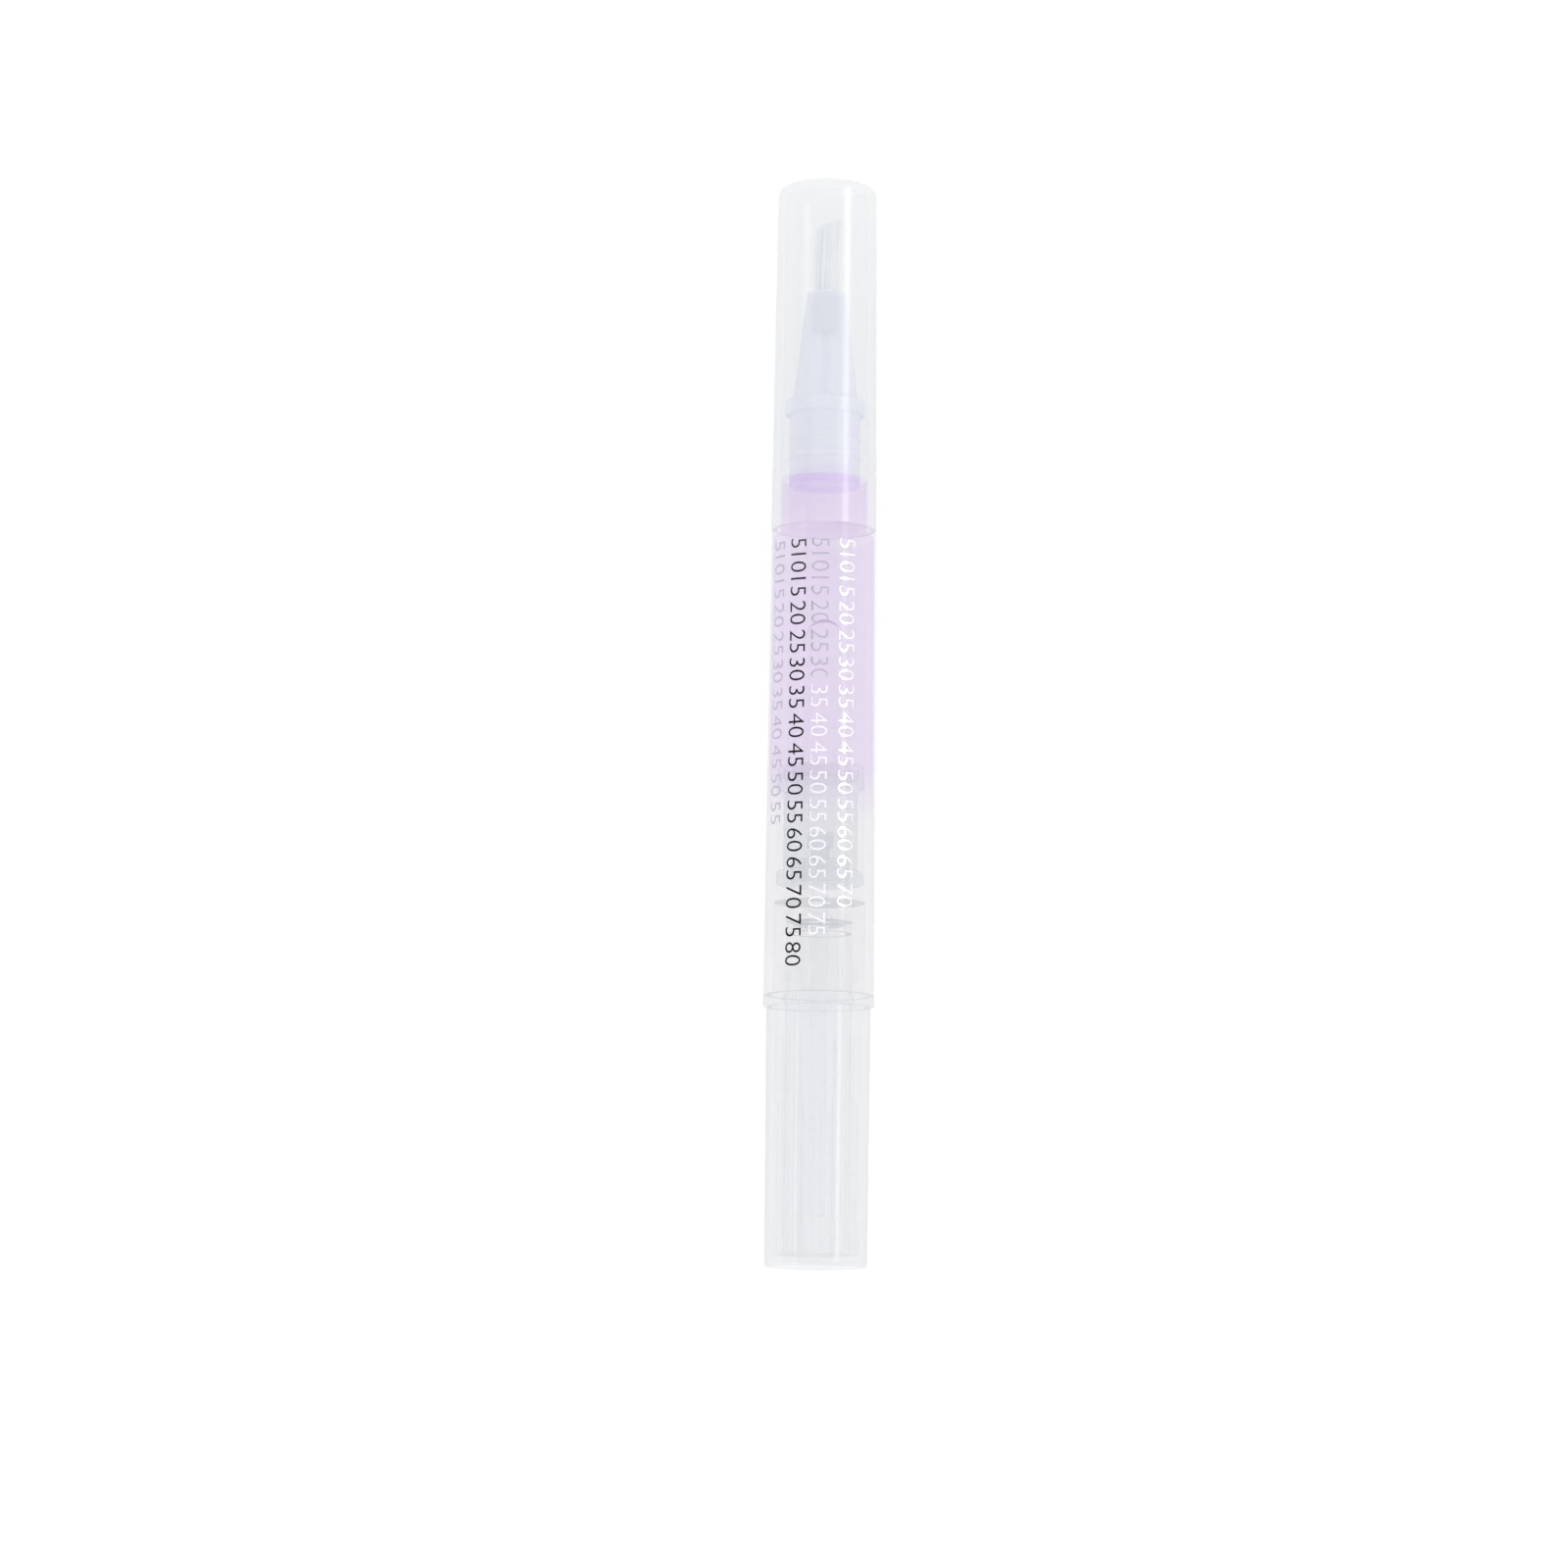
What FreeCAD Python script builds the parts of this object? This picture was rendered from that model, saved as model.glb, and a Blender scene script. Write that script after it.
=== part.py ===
import FreeCAD, Part
import Sketcher
import math
import os
from types import SimpleNamespace

# Twist-up nail oil pen, lying on its side with the cap towards +Y and the knob towards -Y.
# Every piece is drawn round its own Y axis, with stations measured from the knob's end face, and is
# then placed so that the pen's middle stands over the origin and its widest ring rests on Z = 0.
# Turning the knob turns the drive sleeve and, through two flats, the lead screw. The screw climbs
# through the fixed nut in the insert and pushes the piston, which drives the oil to the brush.

# Driving lengths in millimetres: name, value, meaning.
LENGTHS = [
    ("knob_length", 29.2, "knob, end face to mouth"),
    ("knob_end_radius", 5.78, "knob outside at its closed end"),
    ("knob_mouth_radius", 5.895, "knob outside at its mouth"),
    ("knob_bore_radius", 4.9, "knob inside"),
    ("knob_base", 1.4, "knob end wall"),
    ("knob_end_chamfer", 0.35, "chamfer on the knob's end edge"),
    ("knob_gap", 0.1, "running gap between knob mouth and ring"),
    ("rib_width", 0.5, "inner rib of the knob, across"),
    ("rib_setback", 2.6, "rib top below the knob mouth"),
    ("rib_ramp", 1.0, "slope at the top of a rib"),
    ("ring_radius", 6.275, "visible ring of the insert, the widest place"),
    ("ring_thickness", 1.3, "visible ring of the insert, along the axis"),
    ("ring_chamfer", 0.15, "chamfer on the ring's edges"),
    ("insert_depth", 10.5, "insert inside the barrel, above the ring"),
    ("web_thickness", 2.2, "threaded web of the insert"),
    ("relief_radius", 4.1, "snap groove, and tips of the ratchet teeth"),
    ("groove_slack", 0.2, "snap groove beyond the bead, each side"),
    ("tooth_root_radius", 4.5, "roots of the ratchet teeth"),
    ("ratchet_length", 2.6, "ratchet teeth along the axis"),
    ("ratchet_setback", 0.9, "ratchet teeth above the snap groove"),
    ("sleeve_radius", 3.7, "drive sleeve outside"),
    ("sleeve_bore_radius", 2.7, "drive sleeve inside"),
    ("sleeve_gap", 0.4, "sleeve top below the threaded web"),
    ("nose_radius", 3.0, "stepped nose at the sleeve top"),
    ("nose_length", 0.9, "stepped nose along the axis"),
    ("land_length", 3.0, "driving hole at the sleeve top"),
    ("bead_height", 0.28, "snap bead above the sleeve"),
    ("bead_length", 0.9, "snap bead along the axis"),
    ("bead_setback", 0.5, "snap bead above the insert's lower face"),
    ("key_width", 1.3, "sleeve key, across"),
    ("key_height", 0.85, "sleeve key above the sleeve"),
    ("key_length", 17.0, "sleeve key along the axis"),
    ("pawl_width", 1.7, "click finger, across"),
    ("pawl_length", 3.0, "click finger along the axis"),
    ("pawl_slot", 0.35, "slot round a click finger"),
    ("pawl_tooth_length", 1.2, "tooth on a click finger, along the axis"),
    ("pawl_tooth_back", 0.5, "thickness of the tooth's tip"),
    ("lead", 2.6, "screw advance in one turn"),
    ("core_radius", 1.15, "screw core"),
    ("crest_radius", 1.5, "screw thread crest"),
    ("ridge_root", 1.0, "thread ridge at the core, along the axis"),
    ("flat_reach", 1.0, "flats of the screw from its axis"),
    ("screw_tail", 2.0, "screw below its first ridge"),
    ("tail_chamfer", 0.35, "chamfer on the screw's lower end"),
    ("collar_radius", 1.9, "screw collar that pushes the piston"),
    ("collar_thickness", 0.85, "screw collar along the axis"),
    ("stem_radius", 1.0, "screw stem through the piston web"),
    ("head_radius", 1.45, "snap head of the screw"),
    ("head_length", 1.55, "snap head along the axis"),
    ("head_chamfer", 0.5, "chamfer on the snap head"),
    ("piston_rest_gap", 2.05, "piston above the insert at rest"),
    ("piston_length", 13.45, "piston along the axis"),
    ("piston_waist_radius", 4.2, "piston between its lips"),
    ("lower_lip", 1.45, "lower lip along the axis"),
    ("upper_lip", 2.6, "upper lip along the axis"),
    ("skirt_radius", 3.3, "hollow under the piston"),
    ("skirt_depth", 2.75, "hollow under the piston, depth"),
    ("piston_web", 1.5, "piston web over the collar"),
    ("cup_depth", 1.5, "groove behind the upper sealing lip"),
    ("cup_inner_radius", 3.3, "groove behind the upper lip, inner wall"),
    ("cup_outer_radius", 4.3, "groove behind the upper lip, outer wall"),
    ("barrel_length", 53.2, "barrel from the ring to its shoulder"),
    ("barrel_bottom_radius", 6.25, "barrel outside at the ring"),
    ("barrel_top_radius", 5.92, "barrel outside at the shoulder"),
    ("barrel_chamfer", 0.2, "chamfer on the barrel's shoulder"),
    ("bore_radius", 5.0, "oil bore"),
    ("shoulder_wall", 0.9, "barrel wall at the shoulder, along the axis"),
    ("socket_radius", 5.2, "bore that takes the insert"),
    ("socket_slack", 0.5, "socket beyond the insert"),
    ("neck_radius", 5.0, "barrel neck outside"),
    ("neck_bore_radius", 4.1, "barrel neck inside"),
    ("neck_length", 13.4, "barrel neck above the shoulder"),
    ("neck_bead_height", 0.09, "cap bead above the neck"),
    ("neck_bead_length", 0.9, "cap bead along the axis"),
    ("neck_bead_setback", 3.9, "cap bead above the shoulder"),
    ("plug_length", 8.3, "nozzle plug inside the neck"),
    ("plug_radius", 3.98, "nozzle plug between its sealing ribs"),
    ("plug_bore_radius", 2.95, "hollow of the nozzle plug"),
    ("seal_setback", 0.9, "lowest sealing rib above the plug's end"),
    ("seal_length", 0.6, "sealing rib along the axis"),
    ("seal_spacing", 2.2, "sealing ribs, one to the next"),
    ("flange_radius", 4.55, "nozzle flange"),
    ("flange_thickness", 1.7, "nozzle flange along the axis"),
    ("flange_chamfer", 0.15, "chamfer on the nozzle flange"),
    ("cone_length", 12.7, "nozzle cone above the flange"),
    ("cone_bottom_radius", 3.7, "nozzle cone at the flange"),
    ("cone_top_radius", 2.2, "nozzle cone at the tip"),
    ("cone_chamfer", 0.3, "chamfer on the nozzle tip"),
    ("throat_radius", 1.3, "oil passage under the brush"),
    ("tip_bore_radius", 1.55, "bore that takes the brush"),
    ("tip_bore_depth", 4.6, "bore that takes the brush, depth"),
    ("brush_plug_length", 4.2, "fused foot of the brush"),
    ("tube_radius", 0.42, "feed tube outside"),
    ("tube_bore_radius", 0.25, "feed tube inside"),
    ("tube_length", 14.5, "feed tube along the axis"),
    ("tube_reach", 3.3, "feed tube above the brush foot"),
    ("tuft_length", 9.2, "bristles above the brush foot"),
    ("tuft_foot_radius", 1.48, "bristles at the foot"),
    ("tuft_belly_radius", 1.62, "bristles at their widest"),
    ("tuft_belly_height", 4.6, "widest place above the foot"),
    ("tuft_tip_radius", 1.5, "bristles at the tip"),
    ("tuft_slant", 1.1, "rise of the slanted tip across the bristles"),
    ("tip_room", 2.6, "room between the bristles' tip and the cap's roof"),
    ("cap_gap", 0.1, "cap mouth above the shoulder"),
    ("cap_mouth_radius", 6.0, "cap outside at its mouth"),
    ("cap_top_radius", 5.64, "cap outside at its top"),
    ("cap_bore_radius", 5.14, "cap inside over the neck"),
    ("cap_bore_length", 14.4, "straight bore of the cap"),
    ("cap_inner_radius", 4.8, "cap inside over the nozzle"),
    ("cap_step_slope", 1.2, "slope from the straight bore to the narrower inside"),
    ("cap_roof", 1.0, "cap end wall"),
    ("cap_top_round", 1.25, "round on the cap's top edge"),
    ("cap_inner_chamfer", 0.5, "chamfer inside the cap's roof"),
    ("cap_mouth_chamfer", 0.2, "chamfer inside the cap's mouth"),
    ("fit_gap", 0.02, "gap of a pressed seat, each side"),
    ("slide_gap", 0.05, "gap of a sliding or turning fit, each side"),
    ("thread_gap", 0.1, "gap between nut and screw threads"),
    ("oil_gap", 0.03, "oil short of the walls round it"),
    ("bite", 0.3, "how far an added feature reaches into its wall"),
    ("overrun", 2.0, "how far a cut runs past the material"),
]

# Plain numbers: name, value, meaning.
NUMBERS = [
    ("rib_count", 12, "ribs inside the knob"),
    ("key_count", 4, "keys on the sleeve"),
    ("tooth_count", 12, "ratchet teeth"),
    ("pawl_count", 2, "click fingers"),
    ("seal_count", 3, "sealing ribs on the nozzle plug"),
    ("flat_count", 2, "flats along the screw"),
    ("turns_below", 12, "thread turns below the nut at rest"),
    ("turns_above", 1.9, "thread turns above the nut's lower face at rest"),
]

FULL_TURN = 360
SAME = 1e-4


class Size:
    """A length as its number and as the sheet expression that gives it."""

    def __init__(self, number, text):
        self.number = number
        self.text = text

    def __add__(self, other):
        return Size(self.number + other.number, f"({self.text} + {other.text})")

    def __sub__(self, other):
        return Size(self.number - other.number, f"({self.text} - {other.text})")

    def __mul__(self, factor):
        if isinstance(factor, Size):
            return Size(self.number * factor.number, f"({self.text} * {factor.text})")
        return Size(self.number * factor, f"({self.text} * {factor})")

    def __truediv__(self, divisor):
        if isinstance(divisor, Size):
            return Size(self.number / divisor.number, f"({self.text} / {divisor.text})")
        return Size(self.number / divisor, f"({self.text} / {divisor})")

    def __neg__(self):
        return Size(-self.number, f"(-{self.text})")


ZERO = Size(0, "0")


def leg(hypotenuse, side):
    """The other side of a right-angled triangle."""
    length = math.sqrt(hypotenuse.number ** 2 - side.number ** 2)
    return Size(length, f"sqrt({hypotenuse.text}^2 - {side.text}^2)")


doc = FreeCAD.newDocument("NailOilPen")


def make_sheet():
    """The sheet of driving sizes, and the same sizes by name."""
    sheet = doc.addObject("Spreadsheet::Sheet", "Sizes")
    named = SimpleNamespace()
    for row, (alias, value, meaning) in enumerate(LENGTHS + NUMBERS, start=1):
        sheet.set(f"A{row}", alias)
        sheet.set(f"B{row}", str(value))
        sheet.set(f"C{row}", meaning)
        sheet.setAlias(f"B{row}", alias)
        setattr(named, alias, Size(value, f"Sizes.{alias}"))
    doc.recompute()
    return named


d = make_sheet()


def shared_places():
    """Stations along the axis, and radii, that more than one piece uses."""
    at = SimpleNamespace()
    at.ring_bottom = d.knob_length + d.knob_gap
    at.ring_top = at.ring_bottom + d.ring_thickness
    at.insert_top = at.ring_top + d.insert_depth
    at.web_bottom = at.insert_top - d.web_thickness
    at.sleeve_top = at.web_bottom - d.sleeve_gap
    at.bead_bottom = at.ring_bottom + d.bead_setback
    at.bead_top = at.bead_bottom + d.bead_length
    at.groove_top = at.bead_top + d.groove_slack
    at.ratchet_bottom = at.groove_top + d.ratchet_setback
    at.ratchet_top = at.ratchet_bottom + d.ratchet_length
    at.thread_bottom = at.web_bottom - d.lead * d.turns_below
    at.thread_height = d.lead * (d.turns_below + d.turns_above)
    at.screw_bottom = at.thread_bottom - d.screw_tail
    at.piston_bottom = at.insert_top + d.piston_rest_gap
    at.piston_top = at.piston_bottom + d.piston_length
    at.web_under = at.piston_bottom + d.skirt_depth
    at.chamber_bottom = at.web_under + d.piston_web
    at.head_bottom = at.chamber_bottom + d.slide_gap
    at.head_top = at.head_bottom + d.head_length
    at.collar_top = at.web_under - d.slide_gap
    at.shoulder = at.ring_top + d.barrel_length
    at.bore_top = at.shoulder - d.shoulder_wall
    at.neck_top = at.shoulder + d.neck_length
    at.plug_bottom = at.neck_top - d.plug_length
    at.flange_top = at.neck_top + d.flange_thickness
    at.nozzle_top = at.flange_top + d.cone_length
    at.throat_top = at.nozzle_top - d.tip_bore_depth
    at.brush_foot_top = at.throat_top + d.brush_plug_length
    at.tube_top = at.brush_foot_top + d.tube_reach
    at.cap_bottom = at.shoulder + d.cap_gap
    at.brush_top = at.brush_foot_top + d.tuft_length
    at.roof = at.brush_top + d.tip_room
    at.cap_top = at.roof + d.cap_roof
    return at


at = shared_places()


def new_body(name):
    """An empty body, placed so that the whole pen is centred over the origin and rests on Z = 0."""
    body = doc.addObject("PartDesign::Body", name)
    body.Label = name
    body.setExpression("Placement.Base.y", (-at.cap_top / 2).text)
    body.setExpression("Placement.Base.z", d.ring_radius.text)
    return body


def origin_part(body, role):
    """One of the body's own origin planes or axes."""
    return next(part for part in body.Origin.OriginFeatures if part.Role == role)


def outline(body, name, points, plane="XY_Plane", turn=None, lift=None):
    """A closed sketch through the points, each of whose places is bound to the sheet.

    A point is (across, along). turn swings the sketch round its own vertical by that many degrees,
    and lift raises it along its normal.
    """
    sketch = body.newObject("Sketcher::SketchObject", name)
    sketch.AttachmentSupport = [(origin_part(body, plane), "")]
    sketch.MapMode = "FlatFace"
    if turn is not None:
        upright = FreeCAD.Rotation(FreeCAD.Vector(0, 1, 0), turn)
        sketch.AttachmentOffset = FreeCAD.Placement(FreeCAD.Vector(0, 0, 0), upright)
    if lift is not None:
        sketch.setExpression("AttachmentOffset.Base.z", lift.text)
    corners = [FreeCAD.Vector(x.number, y.number, 0) for x, y in points]
    count = len(corners)
    for n in range(count):
        sketch.addGeometry(Part.LineSegment(corners[n], corners[(n + 1) % count]))
    for n in range(count):
        sketch.addConstraint(Sketcher.Constraint("Coincident", n, 2, (n + 1) % count, 1))
    for n, (x, y) in enumerate(points):
        bind_coordinate(sketch, n, "DistanceX", f"across_{n}", x, -2)
        bind_coordinate(sketch, n, "DistanceY", f"along_{n}", y, -1)
    return sketch


def bind_coordinate(sketch, line, kind, name, size, axis):
    """Tie the start of a line to the origin by one coordinate, or to the axis where that is zero."""
    if abs(size.number) < SAME:
        sketch.addConstraint(Sketcher.Constraint("PointOnObject", line, 1, axis))
        return
    index = sketch.addConstraint(Sketcher.Constraint(kind, -1, 1, line, 1, size.number))
    sketch.renameConstraint(index, name)
    sketch.setExpression(f"Constraints.{name}", size.text)


def turned(body, name, points):
    """Material turned round the pen's axis from an outline of (radius, station) points."""
    sketch = outline(body, f"{name}_outline", points)
    feature = body.newObject("PartDesign::Revolution", name)
    feature.Profile = sketch
    feature.ReferenceAxis = (sketch, ["V_Axis"])
    feature.Angle = FULL_TURN
    sketch.Visibility = False
    doc.recompute()
    return feature


def slab(body, name, sketch, width):
    """Material of a given width, half on each side of its sketch."""
    feature = body.newObject("PartDesign::Pad", name)
    feature.Profile = sketch
    feature.Midplane = True
    feature.setExpression("Length", width.text)
    doc.recompute()
    return feature


def slot(body, name, sketch, depth, both_ways=False):
    """A cut of a given depth from its sketch towards +Y or outwards, or half of it each way."""
    before = body.Shape.Volume
    feature = body.newObject("PartDesign::Pocket", name)
    feature.Profile = sketch
    feature.Midplane = both_ways
    feature.setExpression("Length", depth.text)
    doc.recompute()
    must_lose(body, name, before)
    return feature


def must_lose(body, name, before):
    """Stop where a cut has missed its piece."""
    if not body.Shape.Volume < before:
        raise ValueError(f"{name} removes nothing")


def around(body, name, feature, count):
    """Copies of a feature spaced evenly round the pen's axis."""
    pattern = body.newObject("PartDesign::PolarPattern", name)
    pattern.Originals = [feature]
    pattern.Axis = (origin_part(body, "Y_Axis"), [""])
    pattern.Angle = FULL_TURN
    pattern.setExpression("Occurrences", count.text)
    body.Tip = pattern
    doc.recompute()
    return pattern


def along(body, name, feature, spacing, count):
    """Copies of a feature spaced evenly along the pen's axis."""
    pattern = body.newObject("PartDesign::LinearPattern", name)
    pattern.Originals = [feature]
    pattern.Direction = (origin_part(body, "Y_Axis"), [""])
    pattern.setExpression("Length", f"{spacing.text} * ({count.text} - 1)")
    pattern.setExpression("Occurrences", count.text)
    body.Tip = pattern
    doc.recompute()
    return pattern


def rims(body, places):
    """Names of the circular edges at the given (radius, station) places."""
    found = []
    for n, edge in enumerate(body.Shape.Edges, start=1):
        if not isinstance(edge.Curve, Part.Circle):
            continue
        local = body.Placement.inverse().multVec(edge.Curve.Center)
        for radius, station in places:
            if abs(edge.Curve.Radius - radius.number) < SAME and abs(local.y - station.number) < SAME:
                found.append(f"Edge{n}")
    if not found:
        raise ValueError(f"{body.Label} has no such rim")
    return found


def rounded(body, name, places, radius):
    """Rounds on rims of a turned piece."""
    base = body.Tip
    feature = body.newObject("PartDesign::Fillet", name)
    feature.Base = (base, rims(body, places))
    feature.setExpression("Radius", radius.text)
    doc.recompute()
    return feature


def chamfered(body, name, places, size):
    """Chamfers on rims of a turned piece."""
    base = body.Tip
    feature = body.newObject("PartDesign::Chamfer", name)
    feature.Base = (base, rims(body, places))
    feature.setExpression("Size", size.text)
    doc.recompute()
    return feature


def helix(body, kind, name, points, height):
    """A ridge or groove that follows the screw's lead, from an outline of (radius, station) points."""
    sketch = outline(body, f"{name}_outline", points)
    feature = body.newObject(f"PartDesign::{kind}Helix", name)
    feature.Profile = sketch
    feature.ReferenceAxis = (origin_part(body, "Y_Axis"), [""])
    feature.Mode = "pitch-height-angle"
    feature.setExpression("Pitch", d.lead.text)
    feature.setExpression("Height", height.text)
    feature.LeftHanded = False
    feature.Reversed = False
    doc.recompute()
    return feature


def make_knob():
    """Clear closed tube that the user turns, with ribs inside that hold the drive sleeve."""
    body = new_body("knob")
    turned(body, "knob_shell", [
        (ZERO, ZERO),
        (d.knob_end_radius, ZERO),
        (d.knob_mouth_radius, d.knob_length),
        (d.knob_bore_radius, d.knob_length),
        (d.knob_bore_radius, d.knob_base),
        (ZERO, d.knob_base),
    ])
    chamfered(body, "knob_end_edge", [(d.knob_end_radius, ZERO)], d.knob_end_chamfer)
    rib_inner = d.sleeve_radius + d.slide_gap
    rib_outer = d.knob_bore_radius + d.bite
    rib_top = d.knob_length - d.rib_setback
    rib_sketch = outline(body, "knob_rib_outline", [
        (rib_inner, d.knob_base - d.bite),
        (rib_outer, d.knob_base - d.bite),
        (rib_outer, rib_top),
        (rib_inner, rib_top - d.rib_ramp),
    ])
    rib = slab(body, "knob_rib", rib_sketch, d.rib_width)
    around(body, "knob_ribs", rib, d.rib_count)
    return body


def make_insert():
    """Flanged bush pressed into the barrel: the visible ring, the ratchet and the fixed nut."""
    body = new_body("thread_insert")
    plug_radius = d.socket_radius - d.fit_gap
    sleeve_room = d.sleeve_radius + d.slide_gap
    groove_bottom = at.bead_bottom - d.groove_slack
    turned(body, "insert_shell", [
        (sleeve_room, at.ring_bottom),
        (d.ring_radius, at.ring_bottom),
        (d.ring_radius, at.ring_top),
        (plug_radius, at.ring_top),
        (plug_radius, at.insert_top),
        (d.core_radius + d.thread_gap, at.insert_top),
        (d.core_radius + d.thread_gap, at.web_bottom),
        (sleeve_room, at.web_bottom),
        (sleeve_room, at.ratchet_top),
        (d.relief_radius, at.ratchet_top),
        (d.relief_radius, at.ratchet_bottom),
        (sleeve_room, at.ratchet_bottom),
        (sleeve_room, at.groove_top),
        (d.relief_radius, at.groove_top),
        (d.relief_radius, groove_bottom),
        (sleeve_room, groove_bottom),
    ])
    chamfered(body, "ring_edges", [
        (d.ring_radius, at.ring_bottom),
        (d.ring_radius, at.ring_top),
    ], d.ring_chamfer)
    pitch = math.radians(FULL_TURN / d.tooth_count.number)
    ramp_start = d.relief_radius - d.bite
    tooth = outline(body, "ratchet_tooth_outline", [
        (ramp_start, ZERO),
        (ramp_start * math.cos(pitch), -ramp_start * math.sin(pitch)),
        (d.tooth_root_radius, ZERO),
    ], plane="XZ_Plane", lift=-at.ratchet_bottom)
    notch = body.newObject("PartDesign::Pocket", "ratchet_notch")
    before = body.Shape.Volume
    notch.Profile = tooth
    notch.setExpression("Length", d.ratchet_length.text)
    doc.recompute()
    must_lose(body, "ratchet_notch", before)
    around(body, "ratchet_teeth", notch, d.tooth_count)
    start = at.web_bottom - d.lead
    root = d.core_radius + d.thread_gap - d.bite
    crest = d.crest_radius + d.thread_gap
    helix(body, "Subtractive", "nut_thread", [
        (root, start - d.thread_gap),
        (crest, start + d.ridge_root / 2),
        (root, start + d.ridge_root + d.thread_gap),
    ], d.web_thickness + d.lead * 2)
    return body


def make_sleeve():
    """Tube held by the knob's ribs: it carries the snap bead, the click fingers and the driving hole."""
    body = new_body("drive_sleeve")
    nose_bottom = at.sleeve_top - d.nose_length
    land_bottom = at.sleeve_top - d.land_length
    bead_radius = d.sleeve_radius + d.bead_height
    turned(body, "sleeve_shell", [
        (d.sleeve_bore_radius, d.knob_base),
        (d.sleeve_radius, d.knob_base),
        (d.sleeve_radius, at.bead_bottom),
        (bead_radius, at.bead_bottom + d.bead_height / 2),
        (bead_radius, at.bead_top - d.bead_height),
        (d.sleeve_radius, at.bead_top),
        (d.sleeve_radius, nose_bottom),
        (d.nose_radius, nose_bottom),
        (d.nose_radius, at.sleeve_top),
        (ZERO, at.sleeve_top),
        (ZERO, land_bottom),
        (d.sleeve_bore_radius, land_bottom),
    ])
    drive_hole(body, land_bottom)
    key_inner = d.sleeve_radius - d.bite
    key_outer = d.sleeve_radius + d.key_height
    half_pitch = FULL_TURN / d.rib_count.number / 2
    key_sketch = outline(body, "sleeve_key_outline", [
        (key_inner, d.knob_base),
        (key_outer, d.knob_base),
        (key_outer, d.knob_base + d.key_length),
        (key_inner, d.knob_base + d.key_length + d.key_height),
    ], turn=half_pitch)
    key = slab(body, "sleeve_key", key_sketch, d.key_width)
    around(body, "sleeve_keys", key, d.key_count)
    click_fingers(body)
    return body


def drive_hole(body, land_bottom):
    """Round hole with two flats at the sleeve top, which turns the screw and lets it slide."""
    hole = d.crest_radius + d.slide_gap
    flat = d.flat_reach + d.slide_gap
    half = leg(hole, flat)
    sketch = body.newObject("Sketcher::SketchObject", "drive_hole_outline")
    sketch.AttachmentSupport = [(origin_part(body, "XZ_Plane"), "")]
    sketch.MapMode = "FlatFace"
    sketch.setExpression("AttachmentOffset.Base.z", (-(land_bottom - d.overrun)).text)
    swing = math.atan2(half.number, flat.number)
    circle = Part.Circle(FreeCAD.Vector(0, 0, 0), FreeCAD.Vector(0, 0, 1), hole.number)
    right = FreeCAD.Vector(flat.number, half.number, 0)
    left = FreeCAD.Vector(-flat.number, half.number, 0)
    right_low = FreeCAD.Vector(flat.number, -half.number, 0)
    left_low = FreeCAD.Vector(-flat.number, -half.number, 0)
    sketch.addGeometry(Part.ArcOfCircle(circle, swing, math.pi - swing))
    sketch.addGeometry(Part.LineSegment(left, left_low))
    sketch.addGeometry(Part.ArcOfCircle(circle, math.pi + swing, 2 * math.pi - swing))
    sketch.addGeometry(Part.LineSegment(right_low, right))
    for line, end, other, start in ((0, 2, 1, 1), (1, 2, 2, 1), (2, 2, 3, 1), (3, 2, 0, 1)):
        sketch.addConstraint(Sketcher.Constraint("Coincident", line, end, other, start))
    sketch.addConstraint(Sketcher.Constraint("Coincident", 0, 3, -1, 1))
    sketch.addConstraint(Sketcher.Constraint("Coincident", 2, 3, -1, 1))
    sketch.addConstraint(Sketcher.Constraint("Vertical", 1))
    sketch.addConstraint(Sketcher.Constraint("Vertical", 3))
    for kind, line, name, size in (
        ("Radius", 0, "hole_radius", hole),
        ("Radius", 2, "hole_radius_low", hole),
    ):
        index = sketch.addConstraint(Sketcher.Constraint(kind, line, size.number))
        sketch.renameConstraint(index, name)
        sketch.setExpression(f"Constraints.{name}", size.text)
    for line, name, size in ((3, "flat_right", flat), (1, "flat_left", -flat)):
        index = sketch.addConstraint(Sketcher.Constraint("DistanceX", -1, 1, line, 1, size.number))
        sketch.renameConstraint(index, name)
        sketch.setExpression(f"Constraints.{name}", size.text)
    before = body.Shape.Volume
    feature = body.newObject("PartDesign::Pocket", "drive_hole")
    feature.Profile = sketch
    feature.setExpression("Length", (d.land_length + d.overrun * 2).text)
    doc.recompute()
    must_lose(body, "drive_hole", before)


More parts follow.
